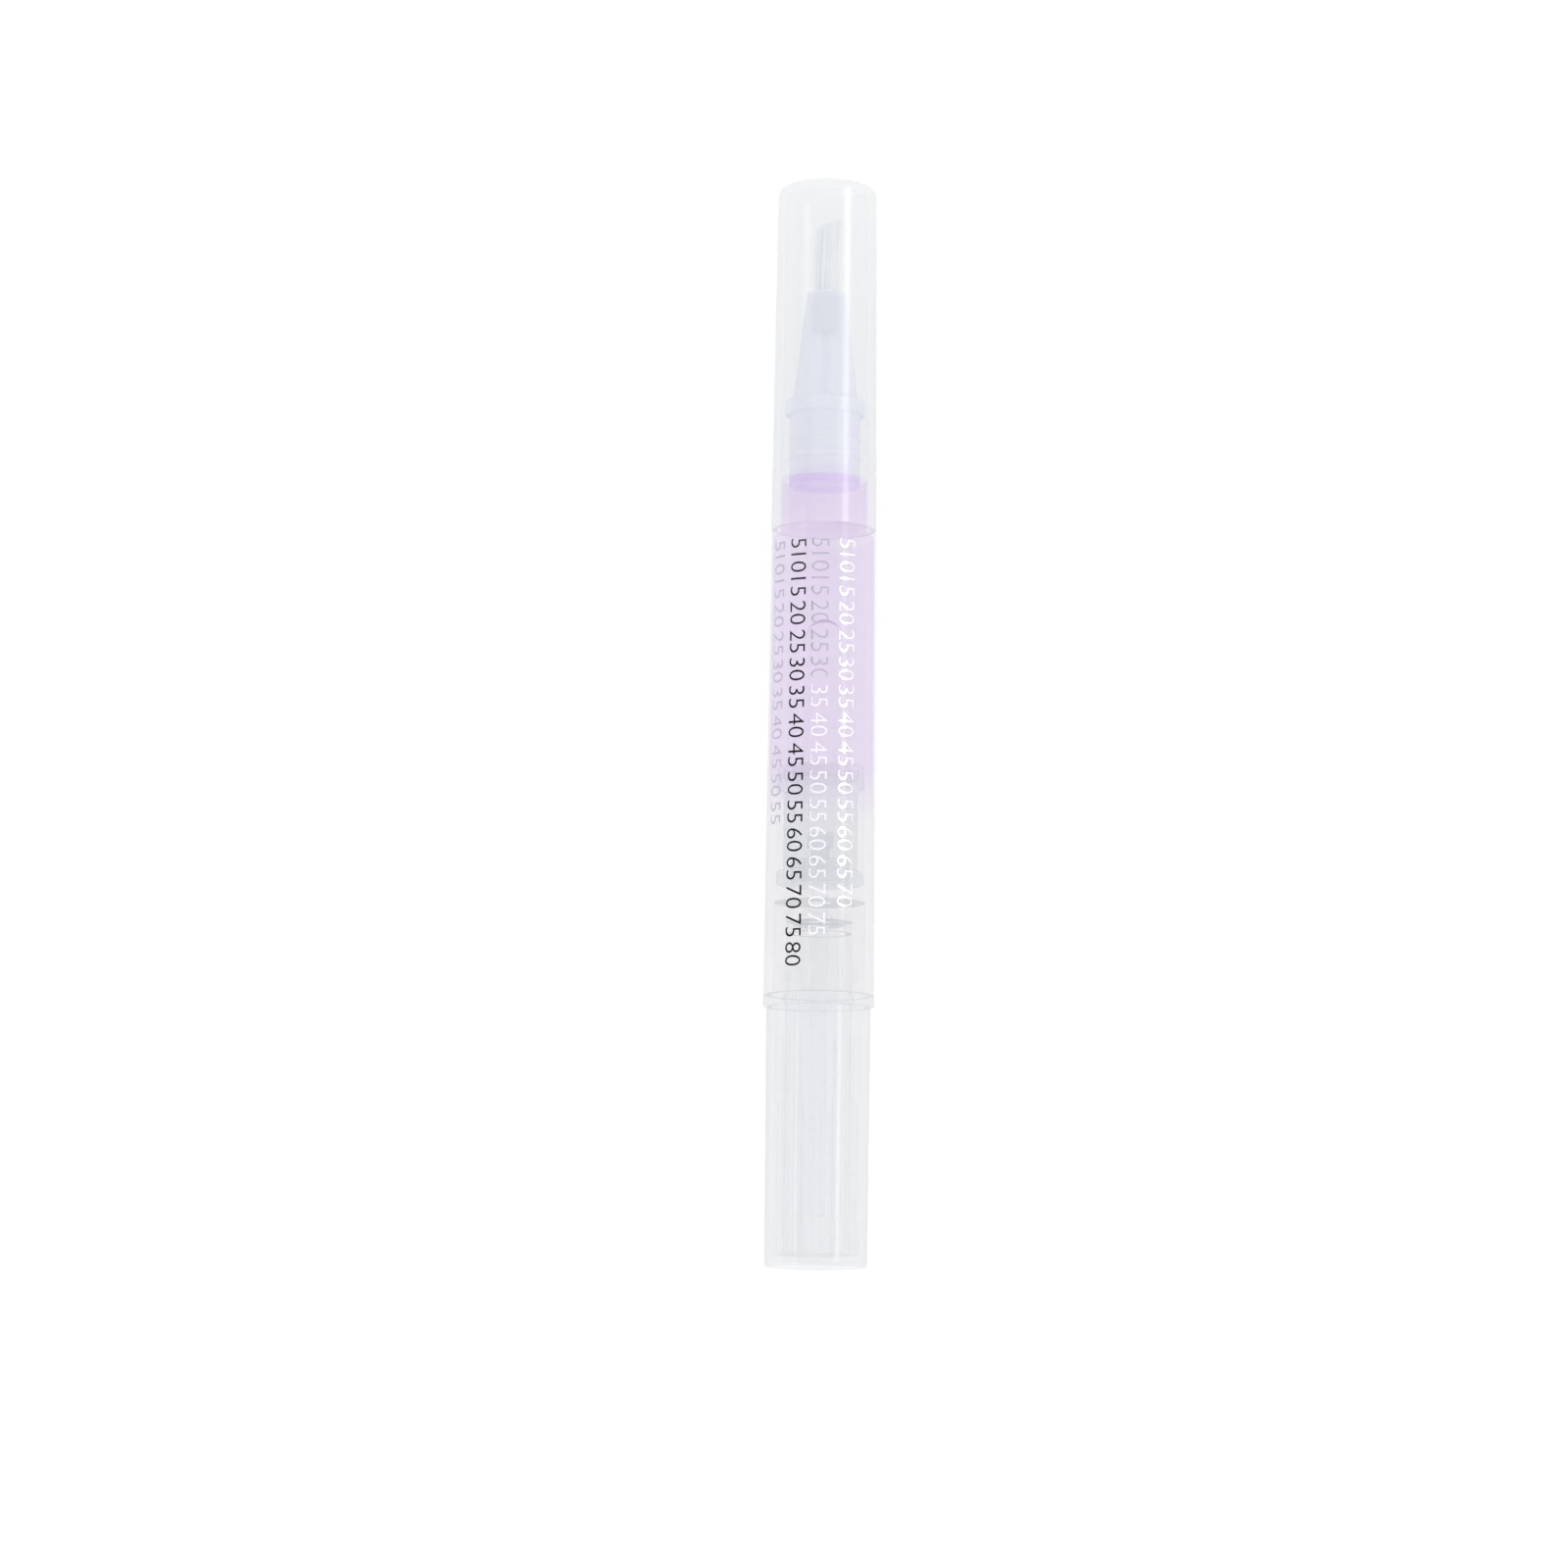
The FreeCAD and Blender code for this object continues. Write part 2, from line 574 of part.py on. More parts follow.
def click_fingers(body):
    """Spring fingers cut free of the sleeve wall, each with a tooth drawn in to the tooth tips."""
    top = at.ratchet_top - d.pawl_slot
    bottom = top - d.pawl_length
    outer = d.pawl_width / 2 + d.pawl_slot
    inner = d.pawl_width / 2
    slot_sketch = outline(body, "finger_slot_outline", [
        (outer, bottom),
        (outer, top + d.pawl_slot),
        (-outer, top + d.pawl_slot),
        (-outer, bottom),
        (-inner, bottom),
        (-inner, top),
        (inner, top),
        (inner, bottom),
    ])
    before = body.Shape.Volume
    finger = body.newObject("PartDesign::Pocket", "finger_slot")
    finger.Profile = slot_sketch
    finger.Reversed = True
    finger.setExpression("Length", (d.sleeve_radius + d.overrun).text)
    doc.recompute()
    must_lose(body, "finger_slot", before)
    around(body, "finger_slots", finger, d.pawl_count)
    tip = leg(d.relief_radius - d.slide_gap, d.pawl_tooth_back)
    foot = d.sleeve_radius - d.bite
    tooth_sketch = outline(body, "finger_tooth_outline", [
        (-d.pawl_tooth_back, foot),
        (inner - d.fit_gap, foot),
        (ZERO, tip),
        (-d.pawl_tooth_back, tip),
    ], plane="XZ_Plane", lift=-(top - d.pawl_tooth_length))
    tooth = body.newObject("PartDesign::Pad", "finger_tooth")
    tooth.Profile = tooth_sketch
    tooth.Reversed = True
    tooth.setExpression("Length", d.pawl_tooth_length.text)
    doc.recompute()
    around(body, "finger_teeth", tooth, d.pawl_count)


def make_screw():
    """Lead screw: helical thread on a core with two flats, a pushing collar and a snap head."""
    body = new_body("lead_screw")
    collar_bottom = at.collar_top - d.collar_thickness
    turned(body, "screw_core", [
        (ZERO, at.screw_bottom),
        (d.core_radius - d.tail_chamfer, at.screw_bottom),
        (d.core_radius, at.screw_bottom + d.tail_chamfer),
        (d.core_radius, collar_bottom),
        (ZERO, collar_bottom),
    ])
    root = d.core_radius - d.bite
    start = at.thread_bottom
    helix(body, "Additive", "screw_thread", [
        (root, start),
        (d.crest_radius, start + d.ridge_root / 2),
        (root, start + d.ridge_root),
    ], at.thread_height)
    side = outline(body, "screw_flat_outline", [
        (d.flat_reach, at.screw_bottom - d.overrun),
        (d.flat_reach + d.overrun, at.screw_bottom - d.overrun),
        (d.flat_reach + d.overrun, collar_bottom),
        (d.flat_reach, collar_bottom),
    ])
    flat = slot(body, "screw_flat", side, d.crest_radius * 2 + d.overrun, both_ways=True)
    around(body, "screw_flats", flat, d.flat_count)
    turned(body, "screw_head", [
        (ZERO, collar_bottom - d.fit_gap),
        (d.stem_radius, collar_bottom - d.fit_gap),
        (d.stem_radius, collar_bottom),
        (d.collar_radius, collar_bottom),
        (d.collar_radius, at.collar_top),
        (d.stem_radius, at.collar_top),
        (d.stem_radius, at.head_bottom),
        (d.head_radius, at.head_bottom),
        (d.head_radius, at.head_top - d.head_chamfer),
        (d.head_radius - d.head_chamfer, at.head_top),
        (ZERO, at.head_top),
    ])
    return body


def make_piston():
    """Piston with two lips, a cup groove behind the upper one and a socket for the screw's head."""
    body = new_body("piston")
    lip = d.bore_radius - d.slide_gap
    lower_top = at.piston_bottom + d.lower_lip
    upper_bottom = at.piston_top - d.upper_lip
    chamber = d.head_radius + d.slide_gap
    chamber_top = at.head_top + d.slide_gap
    turned(body, "piston_shell", [
        (d.skirt_radius, at.piston_bottom),
        (lip, at.piston_bottom),
        (lip, lower_top),
        (d.piston_waist_radius, lower_top),
        (d.piston_waist_radius, upper_bottom),
        (lip, upper_bottom),
        (lip, at.piston_top),
        (d.cup_outer_radius, at.piston_top),
        (d.cup_outer_radius, at.piston_top - d.cup_depth),
        (d.cup_inner_radius, at.piston_top - d.cup_depth),
        (d.cup_inner_radius, at.piston_top),
        (ZERO, at.piston_top),
        (ZERO, chamber_top),
        (chamber, chamber_top),
        (chamber, at.chamber_bottom),
        (d.stem_radius + d.slide_gap, at.chamber_bottom),
        (d.stem_radius + d.slide_gap, at.web_under),
        (d.skirt_radius, at.web_under),
    ])
    return body


def make_barrel():
    """Clear body with the oil bore, the socket for the insert and the beaded neck for the cap."""
    body = new_body("barrel")
    bead_bottom = at.shoulder + d.neck_bead_setback
    bead_top = bead_bottom + d.neck_bead_length
    bead_radius = d.neck_radius + d.neck_bead_height
    socket_top = at.insert_top + d.socket_slack
    bore_step = d.bore_radius - d.neck_bore_radius
    turned(body, "barrel_shell", [
        (d.socket_radius, at.ring_top),
        (d.barrel_bottom_radius, at.ring_top),
        (d.barrel_top_radius, at.shoulder),
        (d.neck_radius, at.shoulder),
        (d.neck_radius, bead_bottom),
        (bead_radius, bead_bottom + d.neck_bead_height * 2),
        (bead_radius, bead_top - d.neck_bead_height * 2),
        (d.neck_radius, bead_top),
        (d.neck_radius, at.neck_top),
        (d.neck_bore_radius, at.neck_top),
        (d.neck_bore_radius, at.bore_top + bore_step),
        (d.bore_radius, at.bore_top),
        (d.bore_radius, socket_top),
        (d.socket_radius, socket_top),
    ])
    chamfered(body, "shoulder_edge", [(d.barrel_top_radius, at.shoulder)], d.barrel_chamfer)
    return body


def make_nozzle():
    """Milky tapered nozzle with a ribbed plug in the neck and a bore at its tip for the brush."""
    body = new_body("nozzle")
    turned(body, "nozzle_shell", [
        (d.plug_bore_radius, at.plug_bottom),
        (d.plug_radius, at.plug_bottom),
        (d.plug_radius, at.neck_top),
        (d.flange_radius, at.neck_top),
        (d.flange_radius, at.flange_top),
        (d.cone_bottom_radius, at.flange_top),
        (d.cone_top_radius, at.nozzle_top),
        (d.tip_bore_radius, at.nozzle_top),
        (d.tip_bore_radius, at.throat_top),
        (d.throat_radius, at.throat_top),
        (d.plug_bore_radius, at.flange_top),
    ])
    chamfered(body, "nozzle_tip_edge", [(d.cone_top_radius, at.nozzle_top)], d.cone_chamfer)
    chamfered(body, "flange_edge", [(d.flange_radius, at.flange_top)], d.flange_chamfer)
    seal_foot = d.plug_radius - d.bite
    seal_tip = d.neck_bore_radius - d.fit_gap
    seal_bottom = at.plug_bottom + d.seal_setback
    seal = turned(body, "nozzle_seal", [
        (seal_foot, seal_bottom),
        (seal_tip, seal_bottom),
        (seal_tip, seal_bottom + d.seal_length),
        (seal_foot, seal_bottom + d.seal_length),
    ])
    along(body, "nozzle_seals", seal, d.seal_spacing, d.seal_count)
    return body


def make_brush_plug():
    """Fused foot of the bristles, seated on the ledge in the nozzle's tip, bored for the feed tube."""
    body = new_body("brush_plug")
    outer = d.tip_bore_radius - d.fit_gap
    inner = d.tube_radius + d.fit_gap
    turned(body, "brush_foot", [
        (inner, at.throat_top),
        (outer, at.throat_top),
        (outer, at.brush_foot_top),
        (inner, at.brush_foot_top),
    ])
    return body


def make_feed_tube():
    """Fine tube that carries oil from the nozzle's hollow into the heart of the bristles."""
    body = new_body("feed_tube")
    bottom = at.tube_top - d.tube_length
    turned(body, "tube_wall", [
        (d.tube_bore_radius, bottom),
        (d.tube_radius, bottom),
        (d.tube_radius, at.tube_top),
        (d.tube_bore_radius, at.tube_top),
    ])
    return body


def make_tuft():
    """Bristles as one soft solid round the feed tube, with a slanted tip."""
    body = new_body("brush_tuft")
    tip = at.brush_top
    inner = d.tube_radius + d.fit_gap
    tube_room = at.tube_top + d.fit_gap
    turned(body, "tuft_mass", [
        (inner, at.brush_foot_top),
        (d.tuft_foot_radius, at.brush_foot_top),
        (d.tuft_belly_radius, at.brush_foot_top + d.tuft_belly_height),
        (d.tuft_tip_radius, tip),
        (ZERO, tip),
        (ZERO, tube_room),
        (inner, tube_room),
    ])
    slant = outline(body, "tuft_slant_outline", [
        (d.tuft_tip_radius, tip),
        (d.tuft_tip_radius, tip + d.overrun),
        (-d.tuft_belly_radius, tip + d.overrun),
        (-d.tuft_belly_radius, tip - d.tuft_slant),
    ])
    slot(body, "tuft_slant", slant, d.tuft_belly_radius * 2 + d.overrun, both_ways=True)
    return body


def make_oil():
    """The oil between the piston and the nozzle's plug, just short of the walls round it."""
    body = new_body("oil_fill")
    bore_step = d.bore_radius - d.neck_bore_radius
    wide = d.bore_radius - d.oil_gap
    narrow = d.neck_bore_radius - d.oil_gap
    turned(body, "oil_column", [
        (ZERO, at.piston_top + d.oil_gap),
        (wide, at.piston_top + d.oil_gap),
        (wide, at.bore_top - d.oil_gap),
        (narrow, at.bore_top + bore_step - d.oil_gap),
        (narrow, at.plug_bottom - d.oil_gap),
        (ZERO, at.plug_bottom - d.oil_gap),
    ])
    return body


def make_cap():
    """Frosted cap: straight bore over the neck, then a taper to a roof with a rounded edge."""
    body = new_body("cap")
    turned(body, "cap_shell", [
        (d.cap_bore_radius, at.cap_bottom),
        (d.cap_mouth_radius, at.cap_bottom),
        (d.cap_top_radius, at.cap_top),
        (ZERO, at.cap_top),
        (ZERO, at.roof),
        (d.cap_inner_radius, at.roof),
        (d.cap_inner_radius, at.cap_bottom + d.cap_bore_length + d.cap_step_slope),
        (d.cap_bore_radius, at.cap_bottom + d.cap_bore_length),
    ])
    rounded(body, "cap_top_edge", [(d.cap_top_radius, at.cap_top)], d.cap_top_round)
    chamfered(body, "cap_roof_edge", [(d.cap_inner_radius, at.roof)], d.cap_inner_chamfer)
    chamfered(body, "cap_mouth_edge", [(d.cap_bore_radius, at.cap_bottom)], d.cap_mouth_chamfer)
    return body


def check_document():
    """Stop if any object failed or any piece is not one valid closed solid."""
    for thing in doc.Objects:
        if "Invalid" in thing.State or "Error" in thing.State:
            raise ValueError(f"{thing.Label} failed: {thing.State}")
    for piece in pieces:
        shape = piece.Shape
        if shape.isNull() or not shape.isValid() or len(shape.Solids) != 1:
            raise ValueError(f"{piece.Label} is not one valid solid")


pieces = [
    make_knob(),
    make_insert(),
    make_sleeve(),
    make_screw(),
    make_piston(),
    make_barrel(),
    make_nozzle(),
    make_brush_plug(),
    make_feed_tube(),
    make_tuft(),
    make_oil(),
    make_cap(),
]
doc.recompute()
check_document()
os.makedirs("parts", exist_ok=True)
for piece in pieces:
    piece.Shape.exportStep(f"parts/{piece.Label}.step")
    print(piece.Label, round(piece.Shape.Volume, 3))
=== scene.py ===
import math

import bmesh
import bpy
import numpy as np
from mathutils import Matrix, Vector


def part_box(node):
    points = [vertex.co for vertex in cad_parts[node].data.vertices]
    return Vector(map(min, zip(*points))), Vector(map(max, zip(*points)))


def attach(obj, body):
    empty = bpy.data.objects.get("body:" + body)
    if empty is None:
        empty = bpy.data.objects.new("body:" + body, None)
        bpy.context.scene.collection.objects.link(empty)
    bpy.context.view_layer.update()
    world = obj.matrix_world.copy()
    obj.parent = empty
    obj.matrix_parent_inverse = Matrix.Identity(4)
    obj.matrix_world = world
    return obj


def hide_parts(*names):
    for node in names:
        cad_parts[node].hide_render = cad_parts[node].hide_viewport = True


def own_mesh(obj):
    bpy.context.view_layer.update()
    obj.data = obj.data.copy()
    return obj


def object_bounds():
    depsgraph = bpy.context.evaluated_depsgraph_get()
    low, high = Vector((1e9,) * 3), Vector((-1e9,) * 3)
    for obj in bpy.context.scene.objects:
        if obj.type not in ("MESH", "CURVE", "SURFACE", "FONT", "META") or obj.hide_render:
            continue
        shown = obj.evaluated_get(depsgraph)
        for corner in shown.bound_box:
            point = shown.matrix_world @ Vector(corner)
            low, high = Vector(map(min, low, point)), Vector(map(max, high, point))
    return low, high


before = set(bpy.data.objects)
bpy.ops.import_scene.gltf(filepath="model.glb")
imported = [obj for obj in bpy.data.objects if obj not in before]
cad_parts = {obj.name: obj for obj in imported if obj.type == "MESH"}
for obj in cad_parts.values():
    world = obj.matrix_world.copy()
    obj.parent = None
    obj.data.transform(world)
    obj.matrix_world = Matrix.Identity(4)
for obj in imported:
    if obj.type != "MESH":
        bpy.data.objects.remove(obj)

# Twist-up nail oil pen on its side: knob towards -Y, frosted cap towards +Y, clear barrel between them.
# Shapes are worked out in millimetres, as a station along the pen from the knob's end face, a radius
# from the pen's axis and an angle round it, and go into the meshes in metres.

MM = 0.001
lowest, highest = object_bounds()
AXIS_HEIGHT = (lowest.z + highest.z) / 2
PEN_END = lowest.y


def span(node):
    """Bottom station, top station and widest radius of a CAD node, in millimetres."""
    low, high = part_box(node)
    return (low.y - PEN_END) / MM, (high.y - PEN_END) / MM, (high.x - low.x) / 2 / MM


knob_end, knob_mouth, knob_radius = span("knob")
insert_bottom, insert_top, _ = span("thread_insert")
barrel_bottom, neck_top, barrel_radius = span("barrel")
plug_bottom, nozzle_top, flange_radius = span("nozzle")
tuft_foot, tuft_tip, tuft_radius = span("brush_tuft")
tube_bottom, _, tube_radius = span("feed_tube")
piston_bottom, piston_top, lip_radius = span("piston")
oil_bottom, oil_top, _ = span("oil_fill")
cap_mouth, cap_top, cap_radius = span("cap")

# Sizes inside the pieces, which their boxes don't give. The knob:
KNOB_END_RADIUS = 5.78
KNOB_BORE = 4.9
KNOB_BASE = 1.4
KNOB_EDGE = 0.42
RIB_COUNT = 12
RIB_WIDTH = 0.5
RIB_REACH = 3.75
RIB_SETBACK = 2.6
RIB_RAMP = 1.0
RIB_SIDE = 0.002
RIB_SPACING = 10
RIB_UPPER_ROW = 0.66
RIB_LOWER_ROW = 0.33
MOUTH_LENGTH = 1.0

# The barrel and its neck:
BARREL_TOP_RADIUS = 5.92
BORE = 5.0
SOCKET = 5.2
SOCKET_SLACK = 0.5
NECK_LENGTH = 13.4
NECK_RADIUS = 5.0
NECK_BORE = 4.1
SHOULDER_WALL = 0.9
BORE_START = 20.0
NECK_BEAD = 0.09
NECK_BEAD_LENGTH = 0.9
NECK_BEAD_SETBACK = 3.9

# The nozzle:
PLUG_RADIUS = 3.98
PLUG_BORE = 2.95
SEAL_RADIUS = 4.08
SEAL_LENGTH = 0.6
SEAL_SETBACK = 0.9
SEAL_SPACING = 2.2
SEAL_COUNT = 3
FLANGE_THICKNESS = 1.7
CONE_FOOT = 3.7
CONE_TIP = 2.2
TIP_BORE = 1.55
TIP_BORE_DEPTH = 4.6
FUNNEL_START = 2.0
THROAT = 1.3

# The cap:
CAP_TOP_RADIUS = 5.64
CAP_BORE = 5.14
CAP_BORE_LENGTH = 14.4
CAP_STEP = 1.2
CAP_INSIDE = 4.8
CAP_ROOF = 1.0
CAP_TOP_ROUND = 1.25

# The piston and the insert's nut:
WAIST = 4.2
LOWER_LIP = 1.45
UPPER_LIP = 2.6
SKIRT = 3.3
SKIRT_DEPTH = 2.75
PISTON_WEB = 1.5
STEM_HOLE = 1.05
HEAD_ROOM = 1.5
HEAD_ROOM_LENGTH = 1.65
CUP_INNER = 3.3
CUP_OUTER = 4.3
CUP_DEPTH = 1.5
PISTON_TRAVEL = 26.0
NUT_LENGTH = 2.2

# The oil, its gap to the walls round it, and the bubble:
WALL_GAP = 0.03
WALL_SKIN = 0.22
FILM_LENGTH = 5.8
OIL_CORE = 5.2
BUBBLE_STATION = 70.1
BUBBLE_SIDE = 0.2
BUBBLE_HALF_LENGTH = 2.6
BUBBLE_HALF_WIDTH = 2.4
BUBBLE_RIM = 0.65
BUBBLE_RIM_ROWS = 15
BUBBLE_AROUND = 72
BUBBLE_GAP = 0.05
BUBBLE_CREASE = 80
BUBBLE_DARK_START = 1.5
BUBBLE_DARK_END = 2.3

# Roundings of the outlines' corners, from the finest to the broadest:
TINY_ROUND = 0.03
FINE_ROUND = 0.05
SOFT_EDGE = 0.06
SMALL_ROUND = 0.1
EDGE_ROUND = 0.15
MOUTH_ROUND = 0.18
FULL_EDGE_ROUND = 0.2
CONE_ROUND = 0.25
WALL_ROUND = 0.3
BROAD_ROUND = 0.4
ROOF_ROUND = 0.5

shoulder = neck_top - NECK_LENGTH
bore_top = shoulder - SHOULDER_WALL


def place(station, radius, angle):
    """Points in metres: angle 0 is the pen's upper side, and grows towards +X."""
    x = radius * np.sin(angle) * MM
    y = PEN_END + station * MM + 0 * angle
    z = AXIS_HEIGHT + radius * np.cos(angle) * MM
    return np.stack(np.broadcast_arrays(x, y, z), axis=-1)


def barrel_wall(station):
    """The barrel's outer radius at a station: it falls evenly from the foot to the shoulder."""
    share = (station - barrel_bottom) / (shoulder - barrel_bottom)
    return barrel_radius + (BARREL_TOP_RADIUS - barrel_radius) * share


# An arc's steps, the share of a side that it may take and the least arc drawn; then how far from
# its ends a straight run gets its points, and how long such a run is at least and between points.
ROUND_STEPS = 6
ROUND_ROOM_SHARE = 0.45
LEAST_ROUND = 1e-4
GUARD = 0.08
GUARDED_RUN = 0.48
LONG_RUN = 3


def softened(corners):
    """An outline with rounded corners, as (station, radius) rows.

    Each corner is (station, radius, round). Its arc starts and ends round * tan(turn / 2) back
    along the two sides, and its points are the blend of the arc's two end spokes by the sines of
    their share of the turn. Long straight runs get a point near each end, which keeps their shading
    even.
    """
    spots = np.array([corner[:2] for corner in corners], dtype=float)
    rows = [spots[:1]]
    for before, here, after, corner in zip(spots[:-2], spots[1:-1], spots[2:], corners[1:-1]):
        arriving = here - before
        leaving = after - here
        room = ROUND_ROOM_SHARE * min(np.linalg.norm(arriving), np.linalg.norm(leaving))
        arriving = arriving / np.linalg.norm(arriving)
        leaving = leaving / np.linalg.norm(leaving)
        turn = math.acos(max(-1.0, min(1.0, float(arriving @ leaving))))
        back = min(corner[2] * math.tan(turn / 2), room)
        if back < LEAST_ROUND:
            rows.append(here[None])
            continue
        middle = here + (leaving - arriving) * back / (2 * math.sin(turn / 2) ** 2)
        share = np.linspace(0, 1, ROUND_STEPS + 1)[:, None]
        first = here - arriving * back - middle
        last = here + leaving * back - middle
        blend = first * np.sin((1 - share) * turn) + last * np.sin(share * turn)
        rows.append(middle + blend / math.sin(turn))
    rows.append(spots[-1:])
    line = np.concatenate(rows)
    filled = [line[:1]]
    for start, end in zip(line[:-1], line[1:]):
        length = float(np.linalg.norm(end - start))
        if length > GUARDED_RUN:
            inner = np.linspace(GUARD / length, 1 - GUARD / length, int(length / LONG_RUN) + 2)
            filled.append(start + (end - start) * inner[:, None])
        filled.append(end[None])
    return np.concatenate(filled)


def put_in(name, mesh, body, materials, crease):
    """A mesh as a piece that rides on its body, smooth but for edges of at least crease degrees.

    A crease of 0 leaves every face flat.
    """
    mesh.polygons.foreach_set("use_smooth", np.full(len(mesh.polygons), crease > 0))
    if crease:
        mesh.set_sharp_from_angle(angle=math.radians(crease))
    for material in materials:
        mesh.materials.append(material)
    piece = bpy.data.objects.new(name, mesh)
    bpy.context.collection.objects.link(piece)
    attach(piece, body)
    return piece


# In metres: points nearer than the first are one, and edges shorter than the second go.
MERGE_DISTANCE = 2e-7
FLAT_DISTANCE = 1e-8


def finished(name, vertices, faces, body, material, crease=35):
    """An object from vertices and faces: doubles merged, faces outward, smooth but for real edges."""
    mesh = bpy.data.meshes.new(name)
    mesh.from_pydata(np.asarray(vertices).reshape(-1, 3).tolist(), [], np.asarray(faces).tolist())
    shape = bmesh.new()
    shape.from_mesh(mesh)
    bmesh.ops.remove_doubles(shape, verts=shape.verts, dist=MERGE_DISTANCE)
    bmesh.ops.dissolve_degenerate(shape, edges=shape.edges, dist=FLAT_DISTANCE)
    bmesh.ops.recalc_face_normals(shape, faces=shape.faces)
    shape.to_mesh(mesh)
    shape.free()
    return put_in(name, mesh, body, [material], crease)


def grid_faces(rows, columns, rows_meet):
    """Four-cornered faces of a grid whose columns run round and meet, and whose rows may meet too."""
    row = np.arange(rows if rows_meet else rows - 1)[:, None]
    column = np.arange(columns)[None, :]
    next_row = (row + 1) % rows
    next_column = (column + 1) % columns
    corners = (row * columns + column, row * columns + next_column,
               next_row * columns + next_column, next_row * columns + column)
    return np.stack(np.broadcast_arrays(*corners), axis=-1).reshape(-1, 4)


TURNED_SIDES = 144


def turned(name, corners, body, material):
    """A turned piece: every outline row is a circle of its radius round the pen's axis.

    An outline whose ends lie on the axis closes in a point there, and any other one is a loop.
    """
    hollow = corners[0][1] > 0
    if hollow:
        corners = list(corners) + [corners[0]]
    line = softened(corners)
    if hollow:
        line = line[:-1]
    angle = np.linspace(0, 2 * math.pi, TURNED_SIDES, endpoint=False)[None, :]
    vertices = place(line[:, :1], line[:, 1:], angle)
    faces = grid_faces(len(line), TURNED_SIDES, rows_meet=hollow)
    return finished(name, vertices, faces, body, material)


class Finish:
    """A material put together from nodes; a socket's value may be a plain one or another node's output."""

    def __init__(self, name):
        self.material = bpy.data.materials.new(name)
        self.material.use_nodes = True
        self.tree = self.material.node_tree
        self.tree.nodes.clear()

    def add(self, kind, values=None, **settings):
        """A node of a kind, with the values of its inputs and its own settings."""
        node = self.tree.nodes.new(kind)
        for key, value in settings.items():
            setattr(node, key, value)
        for key, value in (values or {}).items():
            socket = node.inputs[key]
            if isinstance(value, bpy.types.NodeSocket):
                self.tree.links.new(value, socket)
            elif isinstance(value, tuple) and socket.type == "RGBA":
                socket.default_value = (*value, 1.0)
            else:
                socket.default_value = value
        return node

    def maths(self, operation, first, second=0.0):
        """One operation on one or two values."""
        return self.add("ShaderNodeMath", {0: first, 1: second}, operation=operation).outputs[0]

    def spread(self, value, low, high):
        """The value, which runs from 0 to 1, stretched from low to high."""
        return self.add("ShaderNodeMapRange", {"Value": value, "To Min": low, "To Max": high}).outputs[0]

    def uneven(self, noise, value, share):
        """The value, up to a share of itself less or more with the noise."""
        return self.spread(noise, value * (1 - share), value * (1 + share))

    def colour(self, share, first, second):
        """From the first colour to the second as the share goes from 0 to 1."""
        node = self.add("ShaderNodeMix", data_type="RGBA")
        self.tree.links.new(share, node.inputs[0])
        for socket, value in ((node.inputs[6], first), (node.inputs[7], second)):
            if isinstance(value, tuple):
                socket.default_value = (*value, 1.0)
            else:
                self.tree.links.new(value, socket)
        return node.outputs[2]

    def along_pen(self, start, end):
        """0 before one station and 1 past another, with an even rise between them."""
        where = self.add("ShaderNodeTexCoord").outputs["Object"]
        y = self.add("ShaderNodeSeparateXYZ", {"Vector": where}).outputs["Y"]
        return self.add("ShaderNodeMapRange", {
            "Value": y,
            "From Min": PEN_END + start * MM,
            "From Max": PEN_END + end * MM,
        }).outputs[0]

    def speckle(self, size, stretch=(1, 1, 1), detail=3.0):
        """Noise whose blotches are about size millimetres, drawn out along an axis by a stretch under 1."""
        where = self.add("ShaderNodeTexCoord").outputs["Object"]
        per_metre = 1 / (size * MM)
        scale = tuple(per_metre * part for part in stretch)
        mapped = self.add("ShaderNodeMapping", {"Vector": where, "Scale": scale}).outputs[0]
        noise = {"Vector": mapped, "Scale": 1.0, "Detail": detail}
        return self.add("ShaderNodeTexNoise", noise).outputs["Fac"]

    def bump(self, height, depth):
        """A bump whose full height is depth millimetres."""
        return self.add("ShaderNodeBump", {"Height": height, "Distance": depth * MM}).outputs[0]

    def done(self, shader):
        """The material, with this shader as its surface."""
        output = self.add("ShaderNodeOutputMaterial")
        self.tree.links.new(shader, output.inputs["Surface"])
        return self.material


def grazing(finish, power):
    """How far a face is turned from the eye, from 0 to 1, raised to a power."""
    facing = finish.add("ShaderNodeLayerWeight", {"Blend": 0.5}).outputs["Facing"]
    return finish.maths("POWER", facing, power)


def end_faces(finish):
    """1 on a flat face across the pen, 0 on a wall along it."""
    normal = finish.add("ShaderNodeTexCoord").outputs["Normal"]
    y = finish.add("ShaderNodeSeparateXYZ", {"Vector": normal}).outputs["Y"]
    return finish.maths("POWER", finish.maths("ABSOLUTE", y), 4.0)


def outer_faces(finish, first, second):
    """1 further from the pen's axis than a radius, 0 nearer to it.

    first and second are (station, radius), and between them the radius changes evenly.
    """
    limit = finish.spread(finish.along_pen(first[0], second[0]), first[1] * MM, second[1] * MM)
    where = finish.add("ShaderNodeTexCoord").outputs["Object"]
    spoke = finish.add("ShaderNodeVectorMath", {0: where, 1: (0, 0, AXIS_HEIGHT)}, operation="SUBTRACT")
    spoke = finish.add("ShaderNodeVectorMath", {0: spoke.outputs[0], 1: (1, 0, 1)}, operation="MULTIPLY")
    distance = finish.add("ShaderNodeVectorMath", {0: spoke.outputs[0]}, operation="LENGTH").outputs["Value"]
    return finish.maths("GREATER_THAN", distance, limit)


